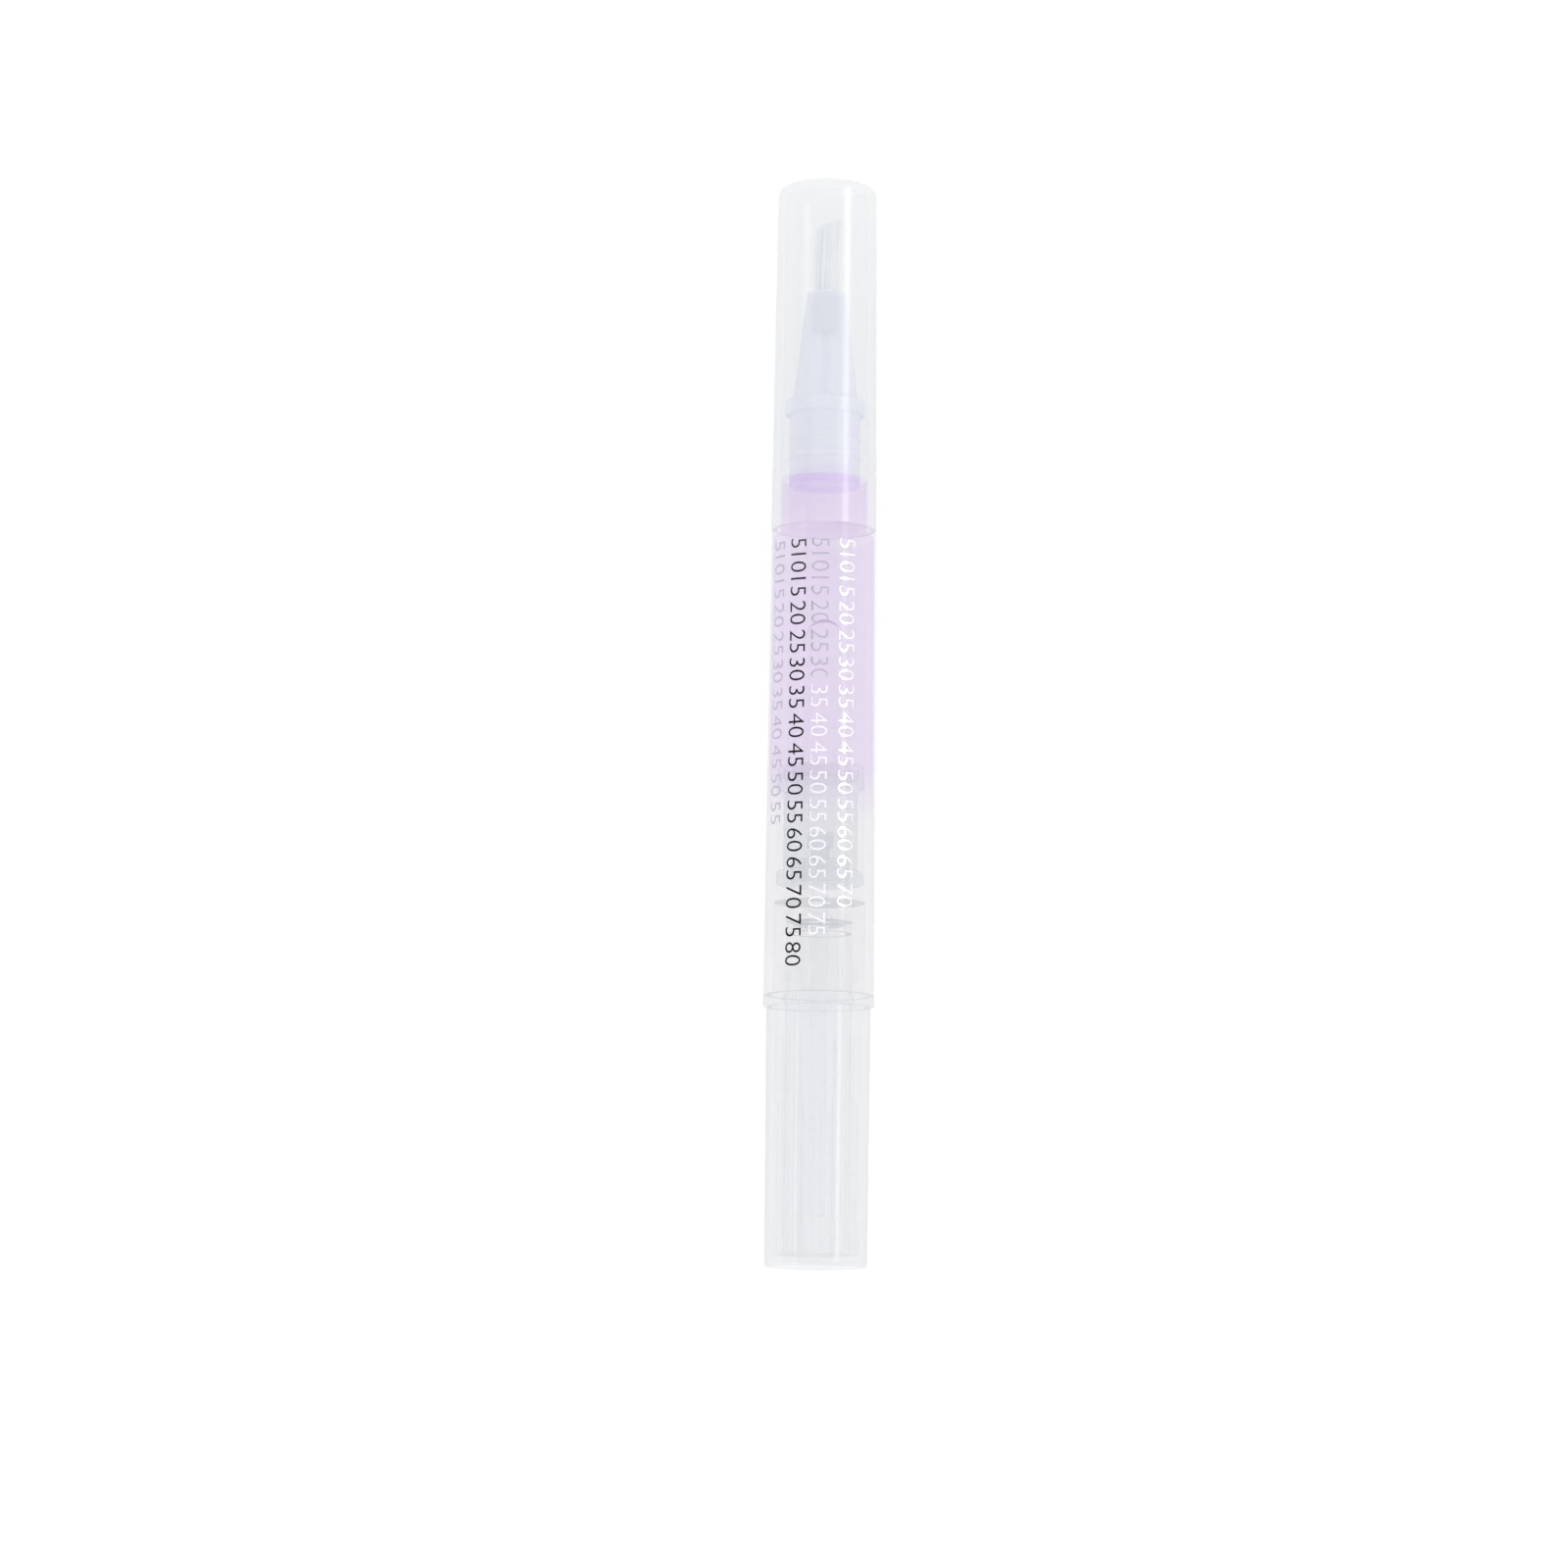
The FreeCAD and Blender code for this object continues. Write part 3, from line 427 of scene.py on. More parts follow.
# What the finishes share, their lengths in millimetres.
CLEAR = (1.0, 1.0, 1.0)
PLASTIC_IOR = 1.46
OIL_IOR = 1.4
INNER_FACE = 0.08
NARROW = 0.05
ROUGHNESS_CHANGE = 0.2
CLOUD_SIZE = 2.4
SKIN_GRAIN = 0.16
MIRROR_POWER = 5.0
FLAT_POWER = 2.0


def moulded_clear(name, milk, rim, tint, rim_tint, body_share, rim_share, rim_power, roughness, gloss, haze,
                  grain, glare=0.3, outside=None, ends=(), oiled=None):
    """See-through moulded plastic.

    Milky plastic covers body_share of a face that looks at the eye and rim_share of one seen edge on.
    The rest lets light through in the tint. The rim colours, darker than milk and tint, are painted
    edge shade that darkens a face as it turns edge on. Haze is a slow unevenness of the milk, grain
    a fine one of the surface, and gloss the share that a face looking at the eye reflects, which rises
    to glare at grazing light. outside parts a wall's outer faces from its inner ones, which hardly
    show, because a real wall bends light and spreads its bore out to its silhouette. Each of ends
    gives the colour, share and first and last station of painted shade on flat faces across the pen:
    dark where they are seen edge on, where a real face reflects all light, and clear from the front.
    Where oil creeps over the piece, oiled gives its dry and wet stations and its two colours there.
    """
    finish = Finish(name)
    cloud = finish.speckle(CLOUD_SIZE, stretch=(1, 0.35, 1))
    fine = finish.speckle(SKIN_GRAIN, stretch=(1, 0.5, 1), detail=2.0)
    across = end_faces(finish)
    along = finish.maths("SUBTRACT", 1.0, across)
    strength = finish.spread(outer_faces(finish, *outside), INNER_FACE, 1.0) if outside else 1.0
    edge = finish.maths("MULTIPLY", grazing(finish, rim_power), along)
    covered = finish.spread(edge, body_share, rim_share)
    covered = finish.maths("MULTIPLY", covered, finish.uneven(cloud, 1.0, haze))
    covered = finish.maths("MULTIPLY", covered, strength)
    bumped = finish.bump(fine, grain)
    # Painted edge shade: skin and clear turn to the darker rim colours as a face turns edge on.
    skin = finish.colour(edge, milk, rim)
    clear = finish.colour(edge, tint, rim_tint)
    if outside:
        clear = finish.colour(strength, CLEAR, clear)
    # Painted shade: each entry of ends darkens flat faces across the pen where they are seen edge on.
    edge_on_shade_mask = finish.maths("MULTIPLY", across, grazing(finish, FLAT_POWER))
    for painted_shade_colour, painted_shade_share, low, high in ends:
        shown = finish.maths("MULTIPLY", edge_on_shade_mask, finish.along_pen(low - NARROW, low + NARROW))
        shown = finish.maths("MULTIPLY", shown, finish.along_pen(high + NARROW, high - NARROW))
        skin = finish.colour(shown, skin, painted_shade_colour)
        covered = finish.maths("ADD", covered, finish.maths("MULTIPLY", shown, painted_shade_share))
    if oiled:
        dry, wet, wet_milk, wet_tint = oiled
        creep = finish.along_pen(dry, wet)
        skin = finish.colour(creep, skin, wet_milk)
        clear = finish.colour(creep, clear, wet_tint)
    milky = finish.add("ShaderNodeBsdfPrincipled", {
        "Base Color": skin,
        "Roughness": finish.uneven(fine, roughness, ROUGHNESS_CHANGE),
        "Normal": bumped,
        "IOR": PLASTIC_IOR,
    })
    through = finish.add("ShaderNodeBsdfTransparent", {"Color": clear})
    body = finish.add("ShaderNodeMixShader", {0: covered, 1: through.outputs[0], 2: milky.outputs[0]})
    shine = finish.add("ShaderNodeBsdfGlossy", {
        "Color": CLEAR,
        "Roughness": finish.uneven(fine, roughness, ROUGHNESS_CHANGE),
        "Normal": bumped,
    })
    mirror = finish.maths("MULTIPLY", grazing(finish, MIRROR_POWER), along)
    mirror = finish.spread(mirror, gloss, glare)
    mirror = finish.maths("MULTIPLY", mirror, strength)
    coat = finish.add("ShaderNodeMixShader", {0: mirror, 1: body.outputs[0], 2: shine.outputs[0]})
    return finish.done(coat.outputs[0])


def moulded_solid(name, colour, shaded, roughness, grain, blotch):
    """Moulded plastic that hides what is behind it, with a slow change of colour and a fine grain."""
    finish = Finish(name)
    cloud = finish.speckle(blotch, stretch=(1, 0.5, 1))
    fine = finish.speckle(size=0.12)
    skin = finish.add("ShaderNodeBsdfPrincipled", {
        "Base Color": finish.colour(cloud, colour, shaded),
        "Roughness": finish.uneven(fine, roughness, ROUGHNESS_CHANGE),
        "Normal": finish.bump(fine, grain),
        "IOR": PLASTIC_IOR,
    })
    return finish.done(skin.outputs[0])


# Where the foil's painted cap-end reflection colour takes over, in millimetres from the knob's end.
FOIL_CHANGE_START = 65.0
FOIL_CHANGE_END = 66.5


def pressed_foil(name, colour, shaded, painted_cap_end):
    """Thin silver foil: a metal with a fine grain, a slightly uneven shine and a colour painted at its cap
    end, which stands in for a darker reflection there.
    """
    finish = Finish(name)
    fine = finish.speckle(size=0.09, detail=4.0)
    patch = finish.speckle(size=1.6)
    near_cap = finish.along_pen(FOIL_CHANGE_START, FOIL_CHANGE_END)
    metal = finish.colour(near_cap, finish.colour(patch, colour, shaded), painted_cap_end)
    skin = finish.add("ShaderNodeBsdfPrincipled", {
        "Base Color": metal,
        "Metallic": 1.0,
        "Roughness": finish.spread(patch, low=0.06, high=0.12),
        "Normal": finish.bump(fine, depth=0.001),
    })
    return finish.done(skin.outputs[0])


OIL_HAZE = ((0.88, 0.79, 0.955), (0.91, 0.83, 0.975))
OIL_STREAK = 5.0


def clear_oil(name, tint, rim_tint, core, films):
    """Pale violet oil: each of its walls tints what is behind it, with faint slow streaks.

    Flat faces across the pen stay clear, because the oil goes on behind them, and so do faces
    nearer to the pen's axis than core.
    """
    finish = Finish(name)
    streak = finish.speckle(OIL_STREAK, stretch=(1, 0.3, 1))
    edge = grazing(finish, power=2.0)
    depth = finish.maths("SUBTRACT", 1.0, end_faces(finish))
    depth = finish.maths("MULTIPLY", depth, outer_faces(finish, (piston_top, core), (neck_top, core)))
    for start, end, least in films:
        film = finish.spread(finish.along_pen(start, end), least, 1.0)
        depth = finish.maths("MULTIPLY", depth, film)
    hazy = finish.add("ShaderNodeBsdfPrincipled", {
        "Base Color": finish.colour(streak, *OIL_HAZE),
        "Roughness": 0.3,
        "IOR": OIL_IOR,
    })
    # Painted edge shade: the oil's tint turns to the darker rim tint as a face turns edge on.
    clear = finish.colour(depth, CLEAR, finish.colour(edge, tint, rim_tint))
    through = finish.add("ShaderNodeBsdfTransparent", {"Color": clear})
    share = finish.maths("MULTIPLY", depth, finish.spread(streak, low=0.05, high=0.1))
    mixed = finish.add("ShaderNodeMixShader", {0: share, 1: through.outputs[0], 2: hazy.outputs[0]})
    return finish.done(mixed.outputs[0])


# The bubble skin's own pale colour, and the darker colour of its painted reflection.
BUBBLE_PALE = (0.98, 0.96, 1.0)
BUBBLE_PAINTED_REFLECTION = (0.46, 0.38, 0.60)


def air_in_oil(name, start, end):
    """The skin of an air bubble: nearly clear where it faces the eye, painted dark violet where it turns
    away.

    The dark violet is a painted reflection. Past about 45 degrees the oil's side of the skin reflects
    all light, and its end towards the cap, from the station start to the station end, reflects the
    least of the bright surroundings.
    """
    finish = Finish(name)
    ripple = finish.speckle(size=1.4)
    facing = finish.add("ShaderNodeLayerWeight", {"Blend": 0.5}).outputs["Facing"]
    steep = finish.add("ShaderNodeMapRange", {"Value": facing, "From Min": 0.1, "From Max": 0.3}).outputs[0]
    dark = finish.maths("MULTIPLY", steep, finish.along_pen(start, end))
    skin = finish.add("ShaderNodeBsdfPrincipled", {
        "Base Color": finish.colour(dark, BUBBLE_PALE, BUBBLE_PAINTED_REFLECTION),
        "Roughness": finish.spread(ripple, low=0.05, high=0.12),
        "IOR": OIL_IOR,
    })
    through = finish.add("ShaderNodeBsdfTransparent", {"Color": CLEAR})
    mixed = finish.add("ShaderNodeMixShader", {
        0: finish.spread(dark, low=0.1, high=0.5),
        1: through.outputs[0],
        2: skin.outputs[0],
    })
    return finish.done(mixed.outputs[0])


NYLON_TONES = ((0.975, 0.99, 1.0), (0.94, 0.965, 0.99))
NYLON_GLOW = (0.93, 0.97, 1.0)


def nylon(name):
    """Soft white bristles, a little greyer from one to the next.

    Light soaks through real nylon from all sides, and a faint glow stands for it.
    """
    finish = Finish(name)
    strand = finish.speckle(size=0.2, stretch=(1, 0.05, 1))
    skin = finish.add("ShaderNodeBsdfPrincipled", {
        "Base Color": finish.colour(strand, *NYLON_TONES),
        "Roughness": finish.spread(strand, low=0.35, high=0.5),
        "IOR": 1.53,
        "Emission Color": NYLON_GLOW,
        "Emission Strength": 0.045,
    })
    return finish.done(skin.outputs[0])


# Where the outer faces of a wall part from its inner ones, in millimetres from the pen's axis, and
# in the cap's roof as a share of its thickness from the top.
CAP_WALL_MIDDLE = 5.3
BARREL_WALL_MIDDLE = 5.5
KNOB_WALL_MIDDLE = 5.3
INSERT_WALL_MIDDLE = 5.35
CONE_FOOT_MIDDLE = 3.35
CONE_TIP_MIDDLE = 1.88
ROOF_SHARE = 0.65

# Painted shade on flat faces seen edge on: its colours, and the room along the pen in which those faces are
# found.
PAINTED_GAP_SHADE = (0.45, 0.46, 0.52)
PAINTED_DARK_EDGE_SHADE = (0.20, 0.22, 0.28)
PAINTED_PALE_EDGE_SHADE = (0.60, 0.61, 0.64)
EDGE_ROOM = 0.2

cone_foot = neck_top + FLANGE_THICKNESS
roof_middle = cap_top - CAP_ROOF * ROOF_SHARE
base_middle = KNOB_BASE / 2
nut_bottom = insert_top - NUT_LENGTH
sleeve_nose = nut_bottom - 1.6

# The piston's dry and wet stations, and its milk and tint where it is wet.
oiled_piston = (piston_top - 6.0, piston_top + 0.5, (0.87, 0.855, 0.905), (0.981, 0.978, 0.986))

# Films of oil: where each starts, where it has its full depth, and its share of that at the start.
piston_film = (piston_top - FILM_LENGTH, piston_top + 0.4, 0.0)
shoulder_film = (shoulder, shoulder + 2.2, 0.6)
plug_film = (plug_bottom + 4.0, plug_bottom + 0.9, 0.0)

# The ends below paint shade on flat faces seen edge on: a contact gap's shade at the barrel's foot and the
# insert's ring, dark arcs at the insert's nut and the sleeve's nose, and shade at the knob's base.
frosted_cap = moulded_clear(
    "frosted cap moulding", milk=(0.82, 0.83, 0.835), rim=(0.76, 0.77, 0.78),
    tint=(0.952, 0.957, 0.960), rim_tint=(0.94, 0.945, 0.95), body_share=0.25, rim_share=0.5,
    rim_power=4.0, roughness=0.23, gloss=0.046, haze=0.1, grain=0.003, glare=0.09,
    outside=((roof_middle, CAP_WALL_MIDDLE), (roof_middle + NARROW, 0.0)))
clear_barrel = moulded_clear(
    "clear barrel moulding", milk=(0.88, 0.88, 0.90), rim=(0.74, 0.74, 0.78),
    tint=(0.932, 0.932, 0.936), rim_tint=(0.92, 0.92, 0.935), body_share=0.05, rim_share=0.4,
    rim_power=4.0, roughness=0.06, gloss=0.01, haze=0.1, grain=0.001, glare=0.06,
    outside=((barrel_bottom, BARREL_WALL_MIDDLE), (shoulder, BARREL_WALL_MIDDLE)),
    ends=((PAINTED_GAP_SHADE, 0.12, barrel_bottom - EDGE_ROOM, barrel_bottom + EDGE_ROOM),))
clear_knob = moulded_clear(
    "clear knob moulding", milk=(0.87, 0.88, 0.895), rim=(0.70, 0.72, 0.75),
    tint=(0.928, 0.933, 0.939), rim_tint=(0.885, 0.89, 0.90), body_share=0.08, rim_share=0.5,
    rim_power=3.0, roughness=0.07, gloss=0.015, haze=0.12, grain=0.0015, glare=0.06,
    outside=((base_middle - NARROW, 0.0), (base_middle, KNOB_WALL_MIDDLE)),
    ends=((PAINTED_PALE_EDGE_SHADE, 0.85, knob_end - EDGE_ROOM, KNOB_BASE + EDGE_ROOM),))
clear_insert = moulded_clear(
    "clear insert moulding", milk=(0.86, 0.865, 0.88), rim=(0.68, 0.69, 0.73),
    tint=(0.924, 0.926, 0.935), rim_tint=(0.89, 0.895, 0.905), body_share=0.07, rim_share=0.45,
    rim_power=4.0, roughness=0.1, gloss=0.012, haze=0.12, grain=0.002, glare=0.06,
    outside=((insert_bottom, INSERT_WALL_MIDDLE), (insert_top, INSERT_WALL_MIDDLE)), ends=(
        (PAINTED_GAP_SHADE, 0.13, insert_bottom - EDGE_ROOM, barrel_bottom + EDGE_ROOM),
        (PAINTED_DARK_EDGE_SHADE, 0.70, nut_bottom - EDGE_ROOM, insert_top + EDGE_ROOM),
    ))
milky_nozzle = moulded_clear(
    "milky nozzle moulding", milk=(0.885, 0.903, 0.99), rim=(0.84, 0.855, 0.96),
    tint=(0.972, 0.978, 0.998), rim_tint=(0.91, 0.92, 0.97), body_share=0.4, rim_share=0.8,
    rim_power=2.5, roughness=0.2, gloss=0.015, haze=0.1, grain=0.003, glare=0.15,
    outside=((cone_foot, CONE_FOOT_MIDDLE), (nozzle_top, CONE_TIP_MIDDLE)))
milky_sleeve = moulded_clear(
    "milky sleeve moulding", milk=(0.92, 0.935, 0.95), rim=(0.80, 0.82, 0.85),
    tint=(0.996, 0.997, 0.998), rim_tint=(0.96, 0.965, 0.975), body_share=0.01, rim_share=0.25,
    rim_power=5.0, roughness=0.14, gloss=0.008, haze=0.1, grain=0.002, glare=0.08,
    ends=((PAINTED_DARK_EDGE_SHADE, 0.72, sleeve_nose, nut_bottom - EDGE_ROOM),))
milky_piston = moulded_clear(
    "soft piston moulding", milk=(0.86, 0.865, 0.885), rim=(0.78, 0.785, 0.81),
    tint=(0.958, 0.963, 0.969), rim_tint=(0.92, 0.925, 0.94), body_share=0.14, rim_share=0.45,
    rim_power=4.0, roughness=0.35, gloss=0.01, haze=0.1, grain=0.003, glare=0.1,
    oiled=oiled_piston)
milky_screw = moulded_clear(
    "milky screw moulding", milk=(0.88, 0.90, 0.925), rim=(0.84, 0.86, 0.885),
    tint=(0.985, 0.989, 0.994), rim_tint=(0.96, 0.965, 0.975), body_share=0.06, rim_share=0.25,
    rim_power=4.0, roughness=0.16, gloss=0.02, haze=0.1, grain=0.002)
tube_plastic = moulded_clear(
    "feed tube plastic", milk=(0.90, 0.92, 0.97), rim=(0.78, 0.80, 0.88),
    tint=(0.97, 0.975, 0.99), rim_tint=(0.90, 0.91, 0.95), body_share=0.25, rim_share=0.7,
    rim_power=2.0, roughness=0.15, gloss=0.03, haze=0.1, grain=0.001)
fused_foot = moulded_solid(
    "fused bristle ends", colour=(0.84, 0.85, 0.88), shaded=(0.74, 0.75, 0.79),
    roughness=0.5, grain=0.02, blotch=0.3)
silver_foil = pressed_foil(
    "pressed silver foil", colour=(0.93, 0.92, 0.95), shaded=(0.85, 0.84, 0.88), painted_cap_end=(0.91, 0.90, 0.93))
# Painted reflection: the next foil darkens towards its cap end, and the one after is painted lilac grey as a
# shaded reflection.
foil_painted_dark_at_cap = pressed_foil(
    "silver foil painted darker at its cap end", colour=(0.92, 0.90, 0.94), shaded=(0.86, 0.84, 0.89), painted_cap_end=(0.51, 0.48, 0.59))
foil_painted_lilac_reflection = pressed_foil(
    "silver foil painted with a lilac shaded reflection", colour=(0.54, 0.51, 0.61), shaded=(0.48, 0.45, 0.55), painted_cap_end=(0.50, 0.47, 0.58))
violet_oil = clear_oil(
    "pale violet oil", tint=(0.967, 0.928, 0.997), rim_tint=(0.954, 0.918, 0.987), core=OIL_CORE,
    films=[piston_film])
neck_oil = clear_oil(
    "violet oil in the neck", tint=(0.960, 0.880, 1.0), rim_tint=(0.953, 0.893, 0.99), core=0.0,
    films=[shoulder_film, plug_film])
bubble_skin = air_in_oil(
    "air bubble skin", BUBBLE_STATION + BUBBLE_DARK_START, BUBBLE_STATION + BUBBLE_DARK_END)
bristle_nylon = nylon("white bristle nylon")


def make_cap():
    """Closed tube with a rounded top edge, turned: wide bore over the neck, narrower inside above it."""
    roof = cap_top - CAP_ROOF
    bore_end = cap_mouth + CAP_BORE_LENGTH
    cap = turned("cap_shell", [
        (roof, 0, 0),
        (roof, CAP_INSIDE, ROOF_ROUND),
        (bore_end + CAP_STEP, CAP_INSIDE, BROAD_ROUND),
        (bore_end, CAP_BORE, BROAD_ROUND),
        (cap_mouth, CAP_BORE, MOUTH_ROUND),
        (cap_mouth, cap_radius, SMALL_ROUND),
        (cap_top, CAP_TOP_RADIUS, CAP_TOP_ROUND),
        (cap_top, 0, 0),
    ], "cap", frosted_cap)
    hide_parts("cap")


def make_barrel():
    """Tapered clear tube with a square shoulder and a beaded neck, turned."""
    bead = shoulder + NECK_BEAD_SETBACK
    bead_end = bead + NECK_BEAD_LENGTH
    bead_radius = NECK_RADIUS + NECK_BEAD
    socket_end = insert_top + SOCKET_SLACK
    barrel = turned("barrel_shell", [
        (barrel_bottom + BORE_START, BORE, 0),
        (socket_end, BORE, SOFT_EDGE),
        (socket_end, SOCKET, SOFT_EDGE),
        (barrel_bottom, SOCKET, SOFT_EDGE),
        (barrel_bottom, barrel_radius, SOFT_EDGE),
        (shoulder, BARREL_TOP_RADIUS, FULL_EDGE_ROUND),
        (shoulder, NECK_RADIUS, SMALL_ROUND),
        (bead, NECK_RADIUS, SMALL_ROUND),
        (bead + NECK_BEAD * 2, bead_radius, SMALL_ROUND),
        (bead_end - NECK_BEAD * 2, bead_radius, SMALL_ROUND),
        (bead_end, NECK_RADIUS, SMALL_ROUND),
        (neck_top, NECK_RADIUS, EDGE_ROUND),
        (neck_top, NECK_BORE, SMALL_ROUND),
        (shoulder, NECK_BORE, WALL_ROUND),
        (bore_top, BORE, WALL_ROUND),
    ], "barrel", clear_barrel)
    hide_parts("barrel")


def make_nozzle():
    """Milky cone on a flange, over a hollow plug with three sealing ribs, turned."""
    flange_top = neck_top + FLANGE_THICKNESS
    throat_top = nozzle_top - TIP_BORE_DEPTH
    corners = [
        (flange_top, PLUG_BORE, BROAD_ROUND),
        (plug_bottom, PLUG_BORE, EDGE_ROUND),
        (plug_bottom, PLUG_RADIUS, EDGE_ROUND),
    ]
    for n in range(SEAL_COUNT):
        seal = plug_bottom + SEAL_SETBACK + n * SEAL_SPACING
        corners += [
            (seal, PLUG_RADIUS, TINY_ROUND),
            (seal, SEAL_RADIUS, FINE_ROUND),
            (seal + SEAL_LENGTH, SEAL_RADIUS, FINE_ROUND),
            (seal + SEAL_LENGTH, PLUG_RADIUS, TINY_ROUND),
        ]
    corners += [
        (neck_top, PLUG_RADIUS, FINE_ROUND),
        (neck_top, flange_radius, SOFT_EDGE),
        (flange_top, flange_radius, EDGE_ROUND),
        (flange_top, CONE_FOOT, CONE_ROUND),
        (nozzle_top, CONE_TIP, WALL_ROUND),
        (nozzle_top, TIP_BORE, SOFT_EDGE),
        (throat_top, TIP_BORE, SOFT_EDGE),
        (throat_top, THROAT, SOFT_EDGE),
    ]
    slope = (THROAT - PLUG_BORE) / (throat_top - flange_top)
    start = (flange_top + FUNNEL_START, PLUG_BORE + slope * FUNNEL_START, 0)
    nozzle = turned("nozzle_shell", [start] + corners, "barrel", milky_nozzle)
    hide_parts("nozzle")


def make_piston():
    """Piston with two lips, a waist, a cup groove above, a hollow skirt below and the screw head's room."""
    web_under = piston_bottom + SKIRT_DEPTH
    room_bottom = web_under + PISTON_WEB
    room_top = room_bottom + HEAD_ROOM_LENGTH
    piston = turned("piston_body", [
        (room_top, 0, 0),
        (room_top, HEAD_ROOM, SOFT_EDGE),
        (room_bottom, HEAD_ROOM, SOFT_EDGE),
        (room_bottom, STEM_HOLE, SOFT_EDGE),
        (web_under, STEM_HOLE, SOFT_EDGE),
        (web_under, SKIRT, WALL_ROUND),
        (piston_bottom, SKIRT, SMALL_ROUND),
        (piston_bottom, lip_radius, EDGE_ROUND),
        (piston_bottom + LOWER_LIP, lip_radius, EDGE_ROUND),
        (piston_bottom + LOWER_LIP, WAIST, WALL_ROUND),
        (piston_top - UPPER_LIP, WAIST, WALL_ROUND),
        (piston_top - UPPER_LIP, lip_radius, EDGE_ROUND),
        (piston_top, lip_radius, FULL_EDGE_ROUND),
        (piston_top, CUP_OUTER, EDGE_ROUND),
        (piston_top - CUP_DEPTH, CUP_OUTER, WALL_ROUND),
        (piston_top - CUP_DEPTH, CUP_INNER, WALL_ROUND),
        (piston_top, CUP_INNER, WALL_ROUND),
        (piston_top, 0, 0),
    ], "piston", milky_piston)
    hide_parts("piston")


def make_knob():
    """Closed tube with ribs inside.

    Outside it is turned from its outline. Inside, the bore's radius drops to the ribs' reach at each
    rib's angles, by a share that falls from 1 to 0 over the ramp at the rib's top.
    """
    outside = softened([
        (knob_end, 0, 0),
        (knob_end, KNOB_END_RADIUS, KNOB_EDGE),
        (knob_mouth, knob_radius, SMALL_ROUND),
        (knob_mouth, KNOB_BORE, SMALL_ROUND),
        (knob_mouth - MOUTH_LENGTH, KNOB_BORE, 0),
    ])
    rib_top = knob_mouth - RIB_SETBACK
    inside = np.array([
        (rib_top, 0.0),
        (rib_top - RIB_RAMP, 1.0),
        (rib_top - RIB_RAMP - GUARD, 1.0),
        (rib_top * RIB_UPPER_ROW, 1.0),
        (rib_top * RIB_LOWER_ROW, 1.0),
        (KNOB_BASE + GUARD, 1.0),
        (KNOB_BASE, 1.0),
    ])
    stations = np.concatenate([outside[:, 0], inside[:, 0], [KNOB_BASE]])
    radii = np.concatenate([outside[:, 1], np.full(len(inside), KNOB_BORE), [0.0]])
    depth = np.concatenate([np.zeros(len(outside)), inside[:, 1], [0.0]])
    pitch = 2 * math.pi / RIB_COUNT
    half = RIB_WIDTH / 2 / KNOB_BORE
    foot = half + RIB_SIDE
    between = np.linspace(foot, pitch - foot, RIB_SPACING + 2)[1:-1]
    steps = np.concatenate([[-foot, -half, half, foot], between])
    on_rib = np.concatenate([[0.0, 1.0, 1.0, 0.0], np.zeros(RIB_SPACING)])
    angle = math.pi / 2 + (np.arange(RIB_COUNT)[:, None] * pitch + steps[None, :]).reshape(-1)
    rib = np.tile(on_rib, RIB_COUNT)
    radius = radii[:, None] - (KNOB_BORE - RIB_REACH) * depth[:, None] * rib[None, :]
    vertices = place(stations[:, None], radius, angle[None, :])
    faces = grid_faces(len(stations), len(angle), rows_meet=False)
    knob = finished("knob_shell", vertices, faces, "knob", clear_knob)
    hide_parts("knob")


CAD_MERGE_DISTANCE = 1e-6
CAD_CREASE = 28


def smoothed(node, name, body, material):
    """A CAD node's own shape, its loose triangles merged and its round faces shaded smooth."""
    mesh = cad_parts[node].data.copy()
    mesh.name = name
    mesh.materials.clear()
    if "custom_normal" in mesh.attributes:
        mesh.attributes.remove(mesh.attributes["custom_normal"])
    shape = bmesh.new()
    shape.from_mesh(mesh)
    bmesh.ops.remove_doubles(shape, verts=shape.verts, dist=CAD_MERGE_DISTANCE)
    shape.to_mesh(mesh)
    shape.free()
    piece = put_in(name, mesh, body, [material], CAD_CREASE)
    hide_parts(node)


# The tuft's shape and its bristles' small random differences, in millimetres or radians.
BRISTLE_COUNT = 400
BRISTLE_RADIUS = 0.052
BRISTLE_ROWS = 7
BRISTLE_SIDES = 5
TUFT_FOOT_RADIUS = 1.4
TUFT_TIP_RADIUS = 1.42
TUFT_BELLY = 4.6
TUFT_SLANT = 1.1
TUFT_LEAN = 0.3
TUFT_GAP = 0.03
ANGLE_SCATTER = 0.03
TIP_SCATTER = 0.22
TIP_ROUNDING = 0.28
SWAY = 0.025
SWAY_LEAST_RADIUS = 0.5
BRISTLE_TAPER = 0.45
BRISTLE_CREASE = 75
TUFT_SEED = 7


